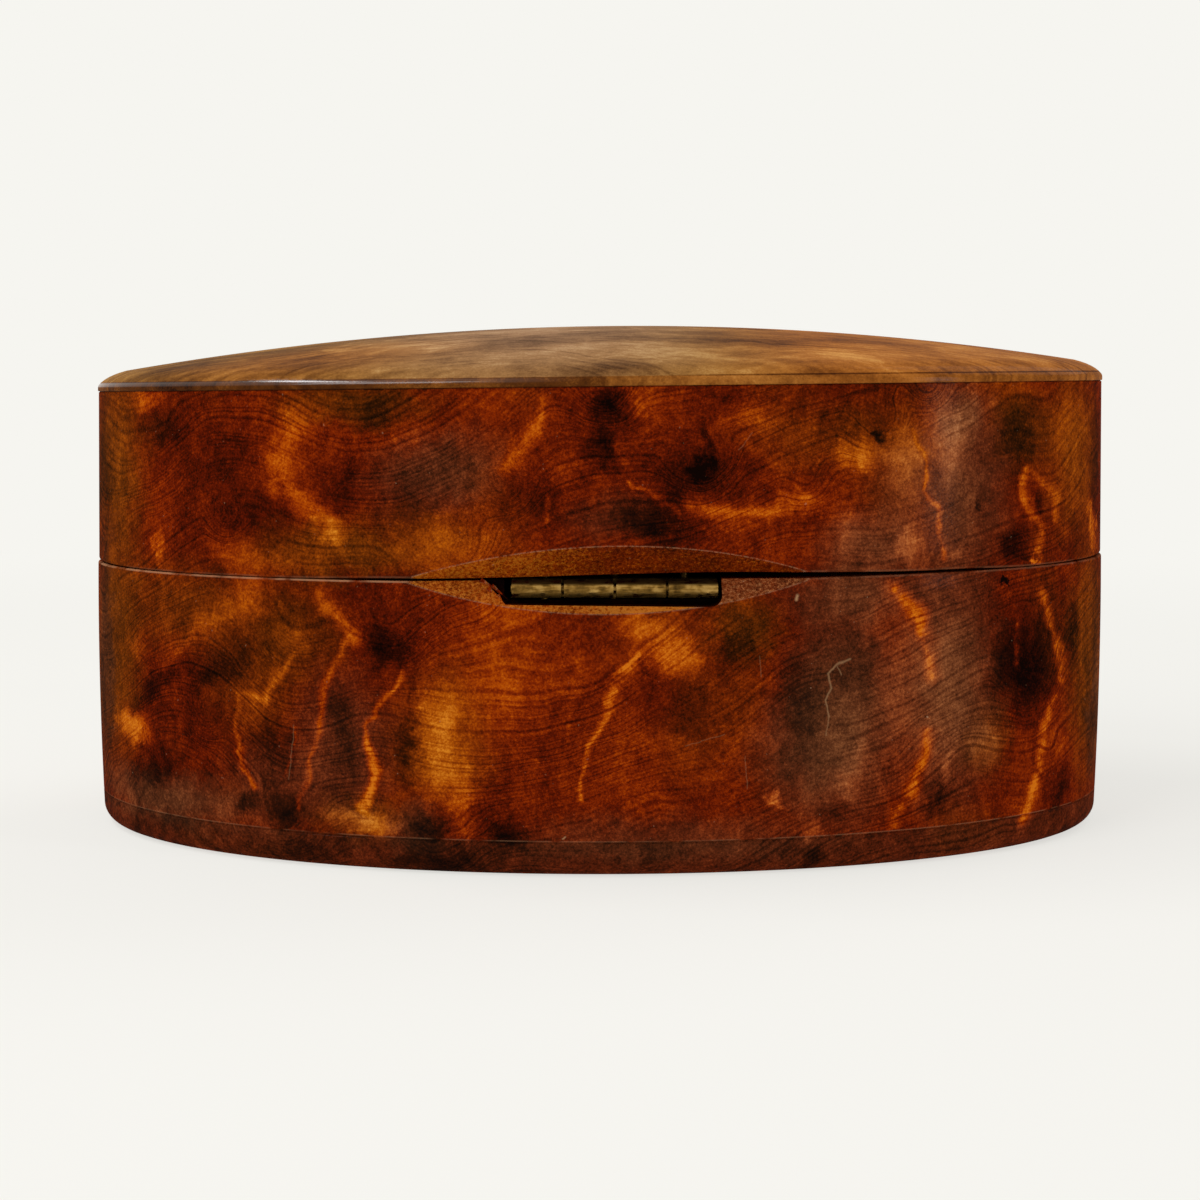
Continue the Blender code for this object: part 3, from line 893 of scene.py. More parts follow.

# %% [markdown]
# ## Stain and varnish colours
# The wood was stained red-brown and shellacked. Its tone runs from almost black through maroon
# and red-brown to a glowing orange. Where the stain took less, the same tones are more golden.
# Where dirt and wax lie under the varnish they are greyer, and the same grey paints a sheen of
# reflected light on the -X side and at the ends. One group turns a tone and these two shares
# into a colour.

# %% Groups that turn a tone into a colour
def colour_group(name, first_share, second_share, ramps):
    """Three ramps of one tone: a plain one and two that are mixed in by their shares."""
    sockets = [("Tone", "value", 0.5), (first_share, "value", 0.0), (second_share, "value", 0.0)]
    group, inside, outside = new_group(name, sockets, [("Colour", "colour")])
    plain, first, second = [colour_ramp(group, inside["Tone"], stops) for stops in ramps]
    blend = mixed(group, inside[first_share], plain, first)
    group.links.new(mixed(group, inside[second_share], blend, second), outside["Colour"])
    tell(name, group)
    return group


# %% Stain group
RED_STOPS = [
    (0.0, (0.004, 0.001, 0.0005)), (0.22, (0.027, 0.003, 0.0005)), (0.42, (0.098, 0.007, 0.0006)),
    (0.60, (0.215, 0.020, 0.0008)), (0.78, (0.385, 0.057, 0.001)), (1.0, (0.600, 0.150, 0.006)),
]
GOLD_STOPS = [
    (0.0, (0.006, 0.003, 0.0006)), (0.22, (0.036, 0.009, 0.0008)), (0.42, (0.112, 0.022, 0.001)),
    (0.60, (0.235, 0.048, 0.002)), (0.78, (0.410, 0.100, 0.003)), (1.0, (0.660, 0.230, 0.016)),
]
GREY_STOPS = [
    (0.0, (0.012, 0.005, 0.003)), (0.22, (0.038, 0.011, 0.004)), (0.42, (0.098, 0.027, 0.009)),
    (0.60, (0.190, 0.060, 0.020)), (0.78, (0.320, 0.118, 0.042)), (1.0, (0.520, 0.250, 0.110)),
]
stain_group = colour_group("Stain", "Gold", "Grey", (RED_STOPS, GOLD_STOPS, GREY_STOPS))

# %% [markdown]
# ## The composed figure of the back
# These are the patches that the eye finds first on the hinge side, from the lid's leaning
# flame to the black knot beside it. Each is a place on the wall in millimetres, across from the
# middle and up from the table, with half its width and height, its lean and its strength.

# %% Lid patches
LID_LIGHTS = [
    # across, up, half width, half height, lean in degrees, strength
    (51.0, 49.6, 2.4, 1.6, 0, 0.28), (49.2, 33.2, 0.9, 1.9, 0, 0.30), (39.8, 33.0, 2.6, 2.0, 10, 0.20),
    (33.0, 45.8, 2.4, 1.8, 0, 0.10), (31.0, 35.4, 2.8, 1.6, 20, 0.14), (33.5, 32.6, 5.0, 1.2, 0, 0.14),
    (16.6, 34.2, 5.4, 3.2, 0, 0.24), (9.6, 44.2, 1.8, 2.0, 0, 0.16), (12.0, 48.6, 2.0, 1.6, 0, 0.08),
    (-5.0, 49.2, 5.0, 2.0, -8, 0.12), (-15.6, 47.8, 2.6, 1.6, 0, 0.18), (-12.6, 37.2, 3.0, 1.6, 20, 0.22),
    (-20.4, 39.6, 2.2, 1.5, 20, 0.20), (-26.6, 44.0, 2.8, 1.8, 10, 0.34), (-32.0, 44.0, 2.4, 5.0, 0, 0.30),
    (-36.8, 45.6, 2.4, 5.2, -14, 0.24), (-24.6, 36.0, 2.2, 3.4, 0, 0.12), (-32.4, 34.8, 1.9, 2.2, 0, 0.30),
    (-37.4, 33.0, 1.6, 0.7, 0, 0.22), (-52.4, 46.0, 2.6, 5.4, 0, 0.18), (-56.4, 35.4, 0.9, 3.4, -14, 0.34),
    (-47.6, 31.9, 0.7, 0.4, 0, 0.50), (4.6, 43.0, 1.0, 3.0, 30, 0.08), (-19.0, 34.0, 3.0, 2.0, 0, 0.08),
]
LID_DARKS = [
    (48.4, 46.0, 3.0, 2.4, 20, 0.20), (24.5, 48.8, 4.8, 2.2, 0, 0.24), (43.0, 42.0, 5.0, 3.0, -20, 0.12),
    (27.4, 41.0, 2.4, 3.6, 30, 0.18), (19.0, 42.6, 6.0, 2.6, -10, 0.12), (-0.2, 48.6, 2.2, 2.1, 0, 0.46),
    (1.4, 44.6, 1.8, 2.8, -10, 0.30), (-9.6, 42.5, 1.3, 1.2, 0, 0.46), (-9.8, 42.4, 4.2, 3.2, 0, 0.16),
    (-10.2, 45.6, 0.8, 1.8, 0, 0.20), (-28.7, 46.2, 0.7, 1.1, 0, 0.46), (-3.0, 37.0, 6.0, 2.2, 8, 0.28),
    (-6.0, 40.4, 4.6, 5.0, 0, 0.12), (38.0, 38.0, 4.0, 3.2, -30, 0.20), (-45.2, 34.2, 2.0, 2.4, 10, 0.34),
    # The last patch here darkens the lid's -X end, as painted shade where the wall turns from the light.
    (-41.2, 38.6, 0.5, 0.9, 0, 0.34), (-45.4, 46.6, 2.8, 4.4, 0, 0.24), (-57.4, 44.0, 1.2, 7.0, 0, 0.20),
    (-48.6, 38.2, 0.9, 1.8, 0, 0.20), (-53.4, 34.4, 1.4, 3.0, 0, 0.14), (-15.6, 42.0, 2.0, 2.0, 0, 0.10),
    # The first patch here darkens the lid's +X end, as painted shade.
    (57.6, 41.0, 1.6, 12.0, 0, 0.16), (8.0, 39.0, 3.0, 2.2, 0, 0.14), (20.0, 38.8, 5.0, 2.6, 0, 0.08),
]
print(len(LID_LIGHTS), "light and", len(LID_DARKS), "dark patches on the lid")

# %% Body patches
BODY_LIGHTS = [
    # as above
    (40.6, 27.4, 7.0, 2.2, -38, 0.22), (45.0, 23.4, 6.0, 1.0, -38, 0.14), (33.2, 24.2, 2.2, 1.6, 0, 0.20),
    (53.0, 12.8, 2.3, 1.8, 0, 0.42), (38.2, 16.2, 1.7, 1.8, 0, 0.16), (18.2, 17.2, 3.6, 3.2, 0, 0.34),
    (17.4, 12.2, 2.6, 4.6, 12, 0.36), (15.2, 7.6, 1.3, 4.2, 8, 0.26), (12.6, 21.4, 6.0, 7.0, 0, 0.22),
    (25.8, 5.2, 3.6, 1.4, 8, 0.40), (4.0, 22.0, 4.0, 4.0, 0, 0.08), (-2.6, 26.4, 3.4, 1.4, 0, 0.20),
    (-6.4, 23.6, 3.8, 2.2, 26, 0.42), (-41.4, 12.8, 1.5, 2.8, 0, 0.17), (-36.6, 9.6, 0.8, 2.2, 0, 0.18),
    (-17.5, 8.3, 0.9, 1.0, 0, 0.34), (-25.8, 10.6, 1.5, 2.8, 20, 0.22), (-21.4, 4.8, 1.3, 1.3, 0, 0.24),
    (1.0, 9.0, 9.0, 2.4, 0, 0.06), (52.6, 22.6, 1.4, 1.6, 0, 0.16), (-50.6, 10.6, 1.4, 2.6, 0, 0.12),
    (-33.0, 16.0, 6.0, 12.0, 0, 0.12), (10.0, 27.6, 4.0, 1.6, 0, 0.14), (-11.6, 26.2, 2.0, 0.9, 0, 0.10),
    (-1.0, 13.0, 12.0, 6.0, 0, 0.08),
]
BODY_DARKS = [
    (49.6, 17.6, 4.4, 1.6, -34, 0.24), (50.6, 8.6, 4.0, 1.6, -30, 0.22), (41.6, 20.4, 5.0, 1.8, -30, 0.22),
    (23.4, 24.0, 2.1, 2.3, 0, 0.34), (28.0, 15.0, 1.8, 6.0, -8, 0.20), (34.2, 5.8, 2.5, 2.0, 0, 0.34),
    (38.8, 6.0, 1.7, 1.2, 0, 0.30), (21.4, 13.4, 1.0, 4.2, 0, 0.26), (18.8, 4.8, 2.5, 2.0, 0, 0.38),
    (10.6, 4.4, 2.4, 2.0, 0, 0.34), (-13.2, 24.4, 2.8, 3.2, 0, 0.24), (-7.6, 17.4, 5.0, 2.6, 14, 0.14),
    (-20.2, 16.4, 2.6, 5.8, 0, 0.26), (-27.0, 21.0, 3.0, 3.6, 0, 0.18), (-35.4, 7.4, 1.5, 2.4, 0, 0.26),
    (-47.2, 18.4, 2.2, 3.8, 8, 0.20), (-43.6, 22.0, 1.6, 5.0, 0, 0.16), (-53.2, 23.6, 1.0, 3.4, 0, 0.24),
    (36.4, 13.2, 2.0, 3.0, 0, 0.20), (-44.2, 29.9, 0.9, 0.28, 0, 0.50), (-24.0, 6.0, 3.0, 1.6, 0, 0.12),
    # The first and last patch here darken the body's two ends, as painted shade.
    (57.2, 16.0, 1.6, 12.0, 0, 0.18), (-51.6, 6.0, 2.0, 3.0, 0, 0.26), (-56.8, 14.0, 1.4, 9.0, 0, 0.16),
    (-46.0, 19.0, 4.6, 8.0, 0, 0.12), (34.4, 10.6, 1.6, 3.0, 0, 0.20), (-49.0, 23.0, 5.0, 7.0, 0, 0.13),
    (17.6, 1.6, 5.0, 1.6, 0, 0.26), (-21.6, 1.8, 1.4, 1.8, 0, 0.26), (33.0, 1.6, 5.0, 1.4, 0, 0.14),
]
print(len(BODY_LIGHTS), "light and", len(BODY_DARKS), "dark patches on the body")

# %% Veins of the back
VEINS = [
    # places from end to end (across, up), half width, strength
    ([(33.4, 47.4), (34.6, 44.2), (34.0, 41.2), (31.6, 38.2), (29.2, 34.8)], 3.40, 0.25),
    ([(6.8, 49.4), (7.4, 46.8), (9.2, 44.8), (11.0, 42.8)], 1.77, 0.22),
    ([(6.6, 39.6), (6.8, 37.4)], 0.59, 0.15),
    ([(-2.2, 41.0), (-4.8, 39.2), (-7.6, 38.2)], 0.59, 0.18),
    ([(-9.2, 38.8), (-12.8, 37.8), (-16.4, 38.2), (-20.8, 39.8)], 1.77, 0.22),
    ([(-33.0, 46.6), (-34.2, 43.0), (-34.0, 40.2), (-35.8, 38.0), (-36.2, 32.6)], 0.65, 0.24),
    ([(-46.8, 42.0), (-46.0, 39.2), (-47.4, 36.8), (-48.8, 35.0), (-48.4, 32.8)], 1.06, 0.24),
    ([(-46.8, 42.0), (-49.4, 40.4), (-50.6, 38.8), (-50.6, 36.0)], 0.83, 0.19),
    ([(-53.8, 45.0), (-53.2, 38.0)], 0.59, 0.10),
    ([(33.4, 22.8), (35.6, 19.4), (36.8, 18.0), (39.8, 18.0)], 0.83, 0.21),
    ([(39.8, 18.0), (40.4, 15.6), (40.1, 11.8)], 0.59, 0.16),
    ([(40.1, 11.8), (39.2, 10.0), (37.4, 7.8)], 0.94, 0.24),
    ([(30.4, 29.4), (28.4, 26.6), (26.4, 24.2)], 1.65, 0.22),
    ([(27.4, 24.8), (28.5, 22.6), (29.8, 19.0), (31.0, 14.4)], 0.83, 0.21),
    ([(31.0, 14.4), (31.4, 10.4), (32.6, 6.4)], 0.59, 0.16),
    ([(33.4, 15.0), (33.3, 12.0), (34.0, 9.2)], 0.35, 0.13),
    ([(22.0, 21.4), (23.6, 18.2), (25.1, 15.2), (25.1, 13.4)], 0.65, 0.19),
    ([(25.1, 13.4), (24.6, 11.4), (24.6, 9.2), (25.8, 6.8)], 1.12, 0.33),
    ([(-2.8, 23.4), (-0.6, 19.8)], 1.47, 0.30),
    ([(-0.6, 19.8), (0.6, 17.0), (1.6, 14.0)], 0.94, 0.28),
    ([(1.6, 14.0), (2.4, 10.6), (2.7, 8.0)], 0.71, 0.30),
    ([(3.1, 26.6), (3.4, 19.4), (4.0, 15.2)], 0.59, 0.11),
    ([(-30.8, 30.2), (-32.2, 28.4), (-33.8, 25.6), (-34.8, 22.6), (-35.0, 20.2)], 1.65, 0.28),
    ([(-34.4, 14.4), (-33.6, 11.0), (-32.6, 8.0)], 1.42, 0.25),
    ([(-31.2, 6.6), (-30.6, 4.4)], 1.53, 0.25),
    ([(-48.8, 28.2), (-50.0, 25.2), (-51.4, 22.0), (-51.8, 18.4)], 1.30, 0.25),
    ([(-50.4, 16.0), (-49.0, 12.4), (-48.4, 9.0)], 1.30, 0.21),
    ([(-47.6, 7.4), (-46.8, 3.6)], 1.77, 0.28),
    ([(-45.4, 24.2), (-45.6, 20.6)], 0.59, 0.21),
    ([(53.0, 12.8), (49.0, 16.6), (45.6, 19.4)], 0.83, 0.07),
]


def vein_stretches(veins):
    """Each vein as its straight stretches: start, end, half width and strength."""
    return [
        (start, end, width, strength)
        for places, width, strength in veins
        for start, end in zip(places, places[1:])
    ]


print(len(vein_stretches(VEINS)), "vein stretches")

# %% Hue and rings of the back
GOLDEN = [
    # as above
    (18.0, 15.0, 5.0, 7.0, 10, 0.6), (26.0, 5.6, 5.0, 2.4, 0, 0.9), (46.0, 27.0, 10.0, 5.0, 0, 0.6),
    (33.0, 25.0, 5.0, 5.0, 0, 0.6), (55.8, 42.0, 4.4, 12.0, 0, 1.0), (56.0, 20.0, 4.0, 12.0, 0, 1.0),
    (27.0, 49.4, 8.0, 2.6, 0, 0.8), (20.0, 34.5, 9.0, 3.6, 0, 0.6), (-53.6, 44.0, 4.6, 9.0, 0, 0.8),
    (-22.0, 46.0, 8.0, 3.4, 0, 0.4), (38.0, 19.0, 5.0, 6.0, 0, 0.5), (-46.0, 46.6, 4.0, 5.0, 0, 0.7),
    (-56.4, 20.0, 3.6, 14.0, 0, 1.0), (31.0, 33.6, 8.0, 3.0, 0, 0.7), (-41.0, 13.0, 3.0, 4.0, 0, 0.8),
    (-33.0, 44.0, 4.0, 5.0, 0, 0.4), (-14.0, 26.0, 4.0, 3.6, 0, 0.8),
]
GREYED = [
    # Greyer patches: dull, waxy wood, and on the -X half and at both ends a painted sheen of reflected
    # light.
    (-39.5, 41.0, 4.6, 10.0, 0, 0.6), (-34.0, 38.0, 6.0, 8.0, 0, 0.4), (-37.0, 19.0, 6.0, 12.0, 0, 0.9),
    (-25.0, 17.0, 6.0, 11.0, 0, 0.9), (18.0, 42.0, 7.0, 4.0, -16, 0.6), (28.0, 13.0, 5.0, 8.0, 0, 0.5),
    (49.0, 5.6, 9.0, 3.0, 0, 0.9), (36.0, 8.0, 6.0, 5.0, 0, 0.4), (-6.0, 4.0, 16.0, 2.6, 0, 0.4),
    (-27.0, 34.0, 5.0, 4.0, 0, 0.6), (-38.0, 48.0, 3.0, 3.0, 0, 0.5), (20.0, 4.6, 3.0, 2.4, 0, 0.6),
    (0.0, 37.6, 5.0, 2.4, 0, 0.3), (-20.0, 13.0, 5.0, 6.0, 0, 0.5), (-26.0, 29.0, 8.0, 2.4, 0, 0.5),
    (57.4, 20.0, 1.6, 12.0, 0, 0.6), (-57.6, 14.0, 1.4, 8.0, 0, 0.8),
]
RING_BUMPS = [
    # as above, with the bump's height in millimetres
    (17.0, 32.0, 6.0, 5.0, 0, 5.0), (-9.6, 43.0, 3.4, 3.4, 0, 5.0), (0.4, 49.6, 4.0, 4.6, 0, 5.0),
    (23.0, 25.6, 4.6, 5.0, 0, 6.0), (34.8, 4.0, 6.0, 4.0, 0, 4.0), (17.8, 3.0, 5.0, 4.0, 0, 5.0),
    (-7.0, 1.0, 10.0, 5.6, 0, 4.0), (-47.6, 20.6, 4.0, 6.0, 0, 5.0), (-28.8, 46.6, 3.0, 4.0, 0, 4.0),
    (50.0, 12.0, 12.0, 12.0, 0, -9.0), (33.0, 24.0, 7.0, 7.0, 0, 4.0), (50.4, 43.4, 6.0, 6.0, 0, 4.0),
    (6.0, 18.0, 12.0, 8.0, 0, 3.0), (-20.0, 33.0, 9.0, 5.0, 0, -3.0), (-30.0, 8.0, 8.0, 6.0, 0, 3.0),
]
print(len(GOLDEN + GREYED), "patches of hue and", len(RING_BUMPS), "bumps in the rings")

# %% [markdown]
# ## Adding the patches up
# Patches of one kind are added, so that neighbours melt together, while veins take the
# strongest of their stretches, so that they don't brighten at the joints. All of it is gathered
# in one group. Patches, veins and rings each get a position of their own, shaken by noise,
# which frays every outline the way fibres do.

# %% Sums of patches and veins
BEHIND_REACH = 1000


def add_patches(tree, position, patches, spread=1.5, softness=0.9, start=0.0):
    total = start
    for across, up, half_width, half_height, lean, strength in patches:
        mask = place_group(
            tree, patch_group, Position=position, Centre=(across, 0, up),
            Half_Size=(half_width * spread, BEHIND_REACH, half_height * spread),
            Lean=math.radians(lean), Softness=softness,
        )["Mask"]
        total = calc(tree, "MULTIPLY_ADD", mask, strength, total)
    return total


def strongest_vein(tree, position, veins):
    strongest = 0.0
    for start, end, width, strength in vein_stretches(veins):
        along = Vector((end[0] - start[0], 0, end[1] - start[1]))
        mask = place_group(
            tree, vein_group, Position=position, Start=(start[0], 0, start[1]),
            Direction=along.normalized(), Length=along.length, Width=width,
        )["Mask"]
        strongest = calc(tree, "MAXIMUM", calc(tree, "MULTIPLY", mask, strength), strongest)
    return strongest


# %% Back figure group
back_group, inside, outside = new_group(
    "Back Figure",
    [("Position", "vector", None), ("Vein Position", "vector", None), ("Ring Position", "vector", None)],
    [
        ("Light", "value"), ("Dark", "value"), ("Vein", "value"), ("Gold", "value"),
        ("Grey", "value"), ("Bumps", "value"),
    ],
)
tree = back_group
position = inside["Position"]
tree.links.new(add_patches(tree, position, LID_LIGHTS + BODY_LIGHTS), outside["Light"])
tree.links.new(add_patches(tree, position, LID_DARKS + BODY_DARKS, softness=0.95), outside["Dark"])
tree.links.new(add_patches(tree, position, GOLDEN), outside["Gold"])
tree.links.new(add_patches(tree, position, GREYED), outside["Grey"])
tree.links.new(add_patches(tree, inside["Ring Position"], RING_BUMPS, softness=1.0), outside["Bumps"])
strongest = strongest_vein(tree, inside["Vein Position"], VEINS)
uneven = soft_step(tree, noise(tree, inside["Position"], 2.2, detail=2), 0.28, 0.62)
uneven = calc(tree, "MULTIPLY_ADD", uneven, 0.65, 0.42)
tree.links.new(calc(tree, "MULTIPLY", strongest, uneven), outside["Vein"])
tell("Back Figure", tree)

# %% [markdown]
# ## Filed slopes
# The two slopes at the hinge were filed through the varnish. They were cut as planes, so the
# distance to a plane tells a slope from the wall round it: nothing on the slope itself, and
# a fraction of a millimetre on the rubbed edge beside it. The wood was tilted and bent after
# that, so a second group first takes a place back to where it was on the straight blank.

# %% Filed slope group
LENS_END = 22.6
filed_group, inside, outside = new_group(
    "Filed Slope",
    [("Position", "vector", None), ("Facing", "vector", (0, 1, 0)), ("Distance", "value", 0.0)],
    [("Slope", "value"), ("Edge", "value")],
)
tree = filed_group
gap = vector(tree, "DOT_PRODUCT", inside["Position"], inside["Facing"], output="Value")
gap = calc(tree, "ABSOLUTE", calc(tree, "SUBTRACT", gap, inside["Distance"]))
across = part_of(tree, inside["Position"], "X")
lens = soft_step(tree, calc(tree, "ABSOLUTE", across), LENS_END, LENS_END - 1.6)
tree.links.new(calc(tree, "MULTIPLY", soft_step(tree, gap, 0.05, 0.02), lens), outside["Slope"])
tree.links.new(calc(tree, "MULTIPLY", soft_step(tree, gap, 0.16, 0.03), lens), outside["Edge"])
tell("Filed Slope", tree)


# %% Planes of the two slopes
def slope_plane(seam, inset, height):
    """The facing and distance of a filed slope's plane at the back."""
    facing = Vector((0, abs(height), -math.copysign(inset, height))).normalized()
    return facing, facing.dot(Vector((0, HALF_DEPTH, seam + height)))


body_slope = slope_plane(SEAM, CHAMFER_INSET, -BODY_CHAMFER)
lid_slope = slope_plane(LID_SEAM, CHAMFER_INSET, LID_CHAMFER)
print("slopes face", [tuple(round(c, 3) for c in plane[0]) for plane in (body_slope, lid_slope)])

# %% Straightened wood group
straight_group, inside, outside = new_group(
    "Straightened Wood", [("Position", "vector", None)],
    [("Body Position", "vector"), ("Lid Position", "vector")],
)
tree = straight_group
parts = add(tree, "SeparateXYZ", {0: inside["Position"]}).outputs
squeeze = calc(tree, "MULTIPLY_ADD", parts["X"], -WOOD_TILT / LID_TOP, 1.0)
up = calc(tree, "DIVIDE", parts["Z"], squeeze)
body_place = joined(tree, X=parts["X"], Y=parts["Y"], Z=up)
tree.links.new(body_place, outside["Body Position"])
warp = SHUT
for first, last, climb in WARP_STEPS:
    warp = calc(tree, "MULTIPLY_ADD", soft_step(tree, parts["X"], first, last), climb, warp)
stretch = calc(tree, "MULTIPLY_ADD", warp, -1 / WARP_REACH, 1.0)
above_seam = calc(tree, "SUBTRACT", calc(tree, "SUBTRACT", up, LID_SEAM), warp)
up = calc(tree, "ADD", calc(tree, "DIVIDE", above_seam, stretch), LID_SEAM)
lid_place = joined(tree, X=parts["X"], Y=parts["Y"], Z=up)
tree.links.new(lid_place, outside["Lid Position"])
tell("Straightened Wood", tree)

# %% [markdown]
# ## The bare inside
# The inside was stained but hardly varnished, so it is browner, duller and plainer than the
# outside. The wall, the base and the panel all show a part of it. One group finds it for all
# three: whatever lies within the oval of the cavity, above the underside and below the crown.

# %% Bare inside group
BARE_WOOD = (0.070, 0.026, 0.009, 1)
BARE_SHARE = 0.62
PANEL_DIP = 1.2
inside_group, inside, outside = new_group(
    "Bare Inside", [("Position", "vector", None)], [("Mask", "value")],
)
tree = inside_group
cavity = (1 / (HALF_LENGTH - WALL), 1 / (HALF_DEPTH - WALL), 0)
reach = vector(tree, "LENGTH", vector(tree, "MULTIPLY", inside["Position"], cavity), output="Value")
up = part_of(tree, inside["Position"], "Z")
mask = calc(tree, "MULTIPLY", soft_step(tree, reach, 1.006, 1.001), calc(tree, "GREATER_THAN", up, 1.0))
mask = calc(tree, "MULTIPLY", mask, calc(tree, "LESS_THAN", up, PANEL_BOTTOM + PANEL_DIP))
tree.links.new(calc(tree, "MULTIPLY", mask, BARE_SHARE), outside["Mask"])
tell("Bare Inside", tree)


def bare_inside(tree, place, colour):
    """The colour outside, and mostly the bare wood's inside."""
    mask = place_group(tree, inside_group, Position=place)["Mask"]
    return mixed(tree, mask, colour, BARE_WOOD)


# %% [markdown]
# ## Wall finish
# The wall's material reads the burl, adds the composed figure on the hinge side and turns the
# tone into stain. The filed slopes were never varnished as well as the rest, so they are paler,
# rougher and speckled. The arrises along the seam are rubbed light, and towards +X a highlight
# is painted along them as well. In the hinge slot, the shade is painted near black.

# %% Shared starts of the wood materials
def wood_material(name, roughness, coat):
    made = bpy.data.materials.new(name)
    made.use_nodes = True
    tree = made.node_tree
    shader = tree.nodes["Principled BSDF"]
    shader.inputs["Roughness"].default_value = roughness
    shader.inputs["Specular IOR Level"].default_value = 0.0
    shader.inputs["Coat Weight"].default_value = coat
    shader.inputs["Coat Roughness"].default_value = 0.14
    return made, tree, shader


def millimetres(tree):
    return sized(tree, add(tree, "TexCoord").outputs["Object"], 1 / mm)


def shaken(tree, position, amount, size):
    """The position, pushed about by noise."""
    push = noise(tree, position, size, detail=2, colour=True)
    push = vector(tree, "SUBTRACT", push, (0.5, 0.5, 0.5))
    return vector(tree, "ADD", position, sized(tree, push, amount))


# %% Tone of the wall's wood
GROUND_TONE = 0.41
CLOUD_SWING = 0.80
FLAME_SWING = 0.24
CURL_SIZE = 1.9
CURL = 0.34
MOTTLE = 0.70
RING_LEAN = (0.28, 0.1, 1.0)
RING_WIDTH = 0.45


def wall_tone(tree, place, back, behind, frayed):
    """The burl's own light and dark, calmed at the back, with the composed figure on top."""
    lean = vector(tree, "DOT_PRODUCT", place, RING_LEAN, output="Value")
    field = calc(tree, "MULTIPLY_ADD", back["Bumps"], behind, lean)
    burl = place_group(tree, burl_group, Position=place, Field=field, Ring_Width=RING_WIDTH, Eyes=1.0)
    cloud = calc(tree, "SUBTRACT", burl["Cloud"], 0.5)
    ground = calc(tree, "MULTIPLY_ADD", cloud, CLOUD_SWING, GROUND_TONE)
    own = calc(tree, "MULTIPLY", calc(tree, "SUBTRACT", burl["Flame"], burl["Eye"]), FLAME_SWING)
    calm = calc(tree, "MULTIPLY_ADD", cloud, 0.42, calc(tree, "MULTIPLY", own, 0.7))
    ground = calc(tree, "ADD", ground, own)
    ground = calc(tree, "SUBTRACT", ground, calc(tree, "MULTIPLY", calm, behind))
    light = calc(tree, "MAXIMUM", back["Light"], back["Vein"])
    light = calc(tree, "MULTIPLY_ADD", back["Vein"], 0.6, light)
    figure = calc(tree, "SUBTRACT", light, back["Dark"])
    tone = calc(tree, "MULTIPLY_ADD", figure, behind, ground)
    curl = calc(tree, "SUBTRACT", noise(tree, frayed, CURL_SIZE, detail=3, roughness=0.6), 0.5)
    tone = calc(tree, "MULTIPLY_ADD", curl, CURL, tone)
    ring_strength = calc(tree, "MULTIPLY_ADD", light, 0.7, 0.34)
    tone = calc(tree, "MULTIPLY_ADD", burl["Rings"], ring_strength, tone)
    return calc(tree, "MULTIPLY_ADD", burl["Mottle"], MOTTLE, tone)


# %% Colour of the wall's wood
def wall_wood(tree, place, darkening=0.0, greying=0.0):
    """Returns the stain's colour and how grey it is, for the wall and for the base under it."""
    drifted = shaken(tree, place, 3.2, 6.0)
    frayed = shaken(tree, shaken(tree, drifted, 2.6, 2.0), 1.6, 0.6)
    threads = shaken(tree, shaken(tree, drifted, 0.9, 2.4), 0.36, 0.5)
    behind = soft_step(tree, part_of(tree, place, "Y"), -4.0, 8.0)
    back = place_group(
        tree, back_group, Position=frayed, Vein_Position=threads, Ring_Position=drifted,
    )
    tone = wall_tone(tree, place, back, behind, frayed)
    gold_noise = noise(tree, place, 20, detail=2)
    gold_front = soft_step(tree, gold_noise, 0.42, 0.62)
    gold_back = calc(tree, "MULTIPLY_ADD", soft_step(tree, gold_noise, 0.5, 0.7), 0.3, back["Gold"])
    gold = calc(tree, "MINIMUM", between(tree, behind, gold_front, gold_back), 1.0)
    grey_noise = noise(tree, vector(tree, "ADD", place, (50, 0, 0)), 15, detail=2)
    grey_front = calc(tree, "MULTIPLY", soft_step(tree, grey_noise, 0.5, 0.68), 0.5)
    grey_back = calc(tree, "MULTIPLY_ADD", back["Vein"], -2.0, back["Grey"])
    grey = between(tree, behind, grey_front, grey_back)
    grey = calc(tree, "ADD", grey, greying, clamp=True)
    tone = calc(tree, "SUBTRACT", tone, darkening)
    return place_group(tree, stain_group, Tone=tone, Gold=gold, Grey=grey)["Colour"], grey


# %% Wall material
WOOD_SHEEN = 0.012
wall_finish, tree, shader = wood_material("burl_wall", roughness=0.34, coat=WOOD_SHEEN)
place = millimetres(tree)
parts = add(tree, "SeparateXYZ", {0: place}).outputs
stain, grey = wall_wood(tree, place)
tell("burl_wall with its wood", tree)

# %% Slope and arris masks on the wall
straight = place_group(tree, straight_group, Position=place)
body_parts = add(tree, "SeparateXYZ", {0: straight["Body Position"]}).outputs
lid_parts = add(tree, "SeparateXYZ", {0: straight["Lid Position"]}).outputs
on_lid = calc(tree, "GREATER_THAN", body_parts["Z"], SEAM + 0.03)
on_body = calc(tree, "SUBTRACT", 1.0, on_lid)
filed_body, filed_lid = [
    place_group(tree, filed_group, Position=straight[where], Facing=facing, Distance=distance)
    for where, (facing, distance) in [("Body Position", body_slope), ("Lid Position", lid_slope)]
]
slope_lid = calc(tree, "MULTIPLY", filed_lid["Slope"], on_lid)
slope_body = calc(tree, "MULTIPLY", filed_body["Slope"], on_body)
edge_lid = calc(tree, "MULTIPLY", filed_lid["Edge"], on_lid)
edge = calc(tree, "ADD", edge_lid, calc(tree, "MULTIPLY", filed_body["Edge"], on_body))
speckle = noise(tree, place, 0.34, detail=3, roughness=0.85)
file_marks = noise(tree, vector(tree, "MULTIPLY", place, (0.3, 1, 1)), 1.4, detail=2)
tell("burl_wall with its slopes", tree)

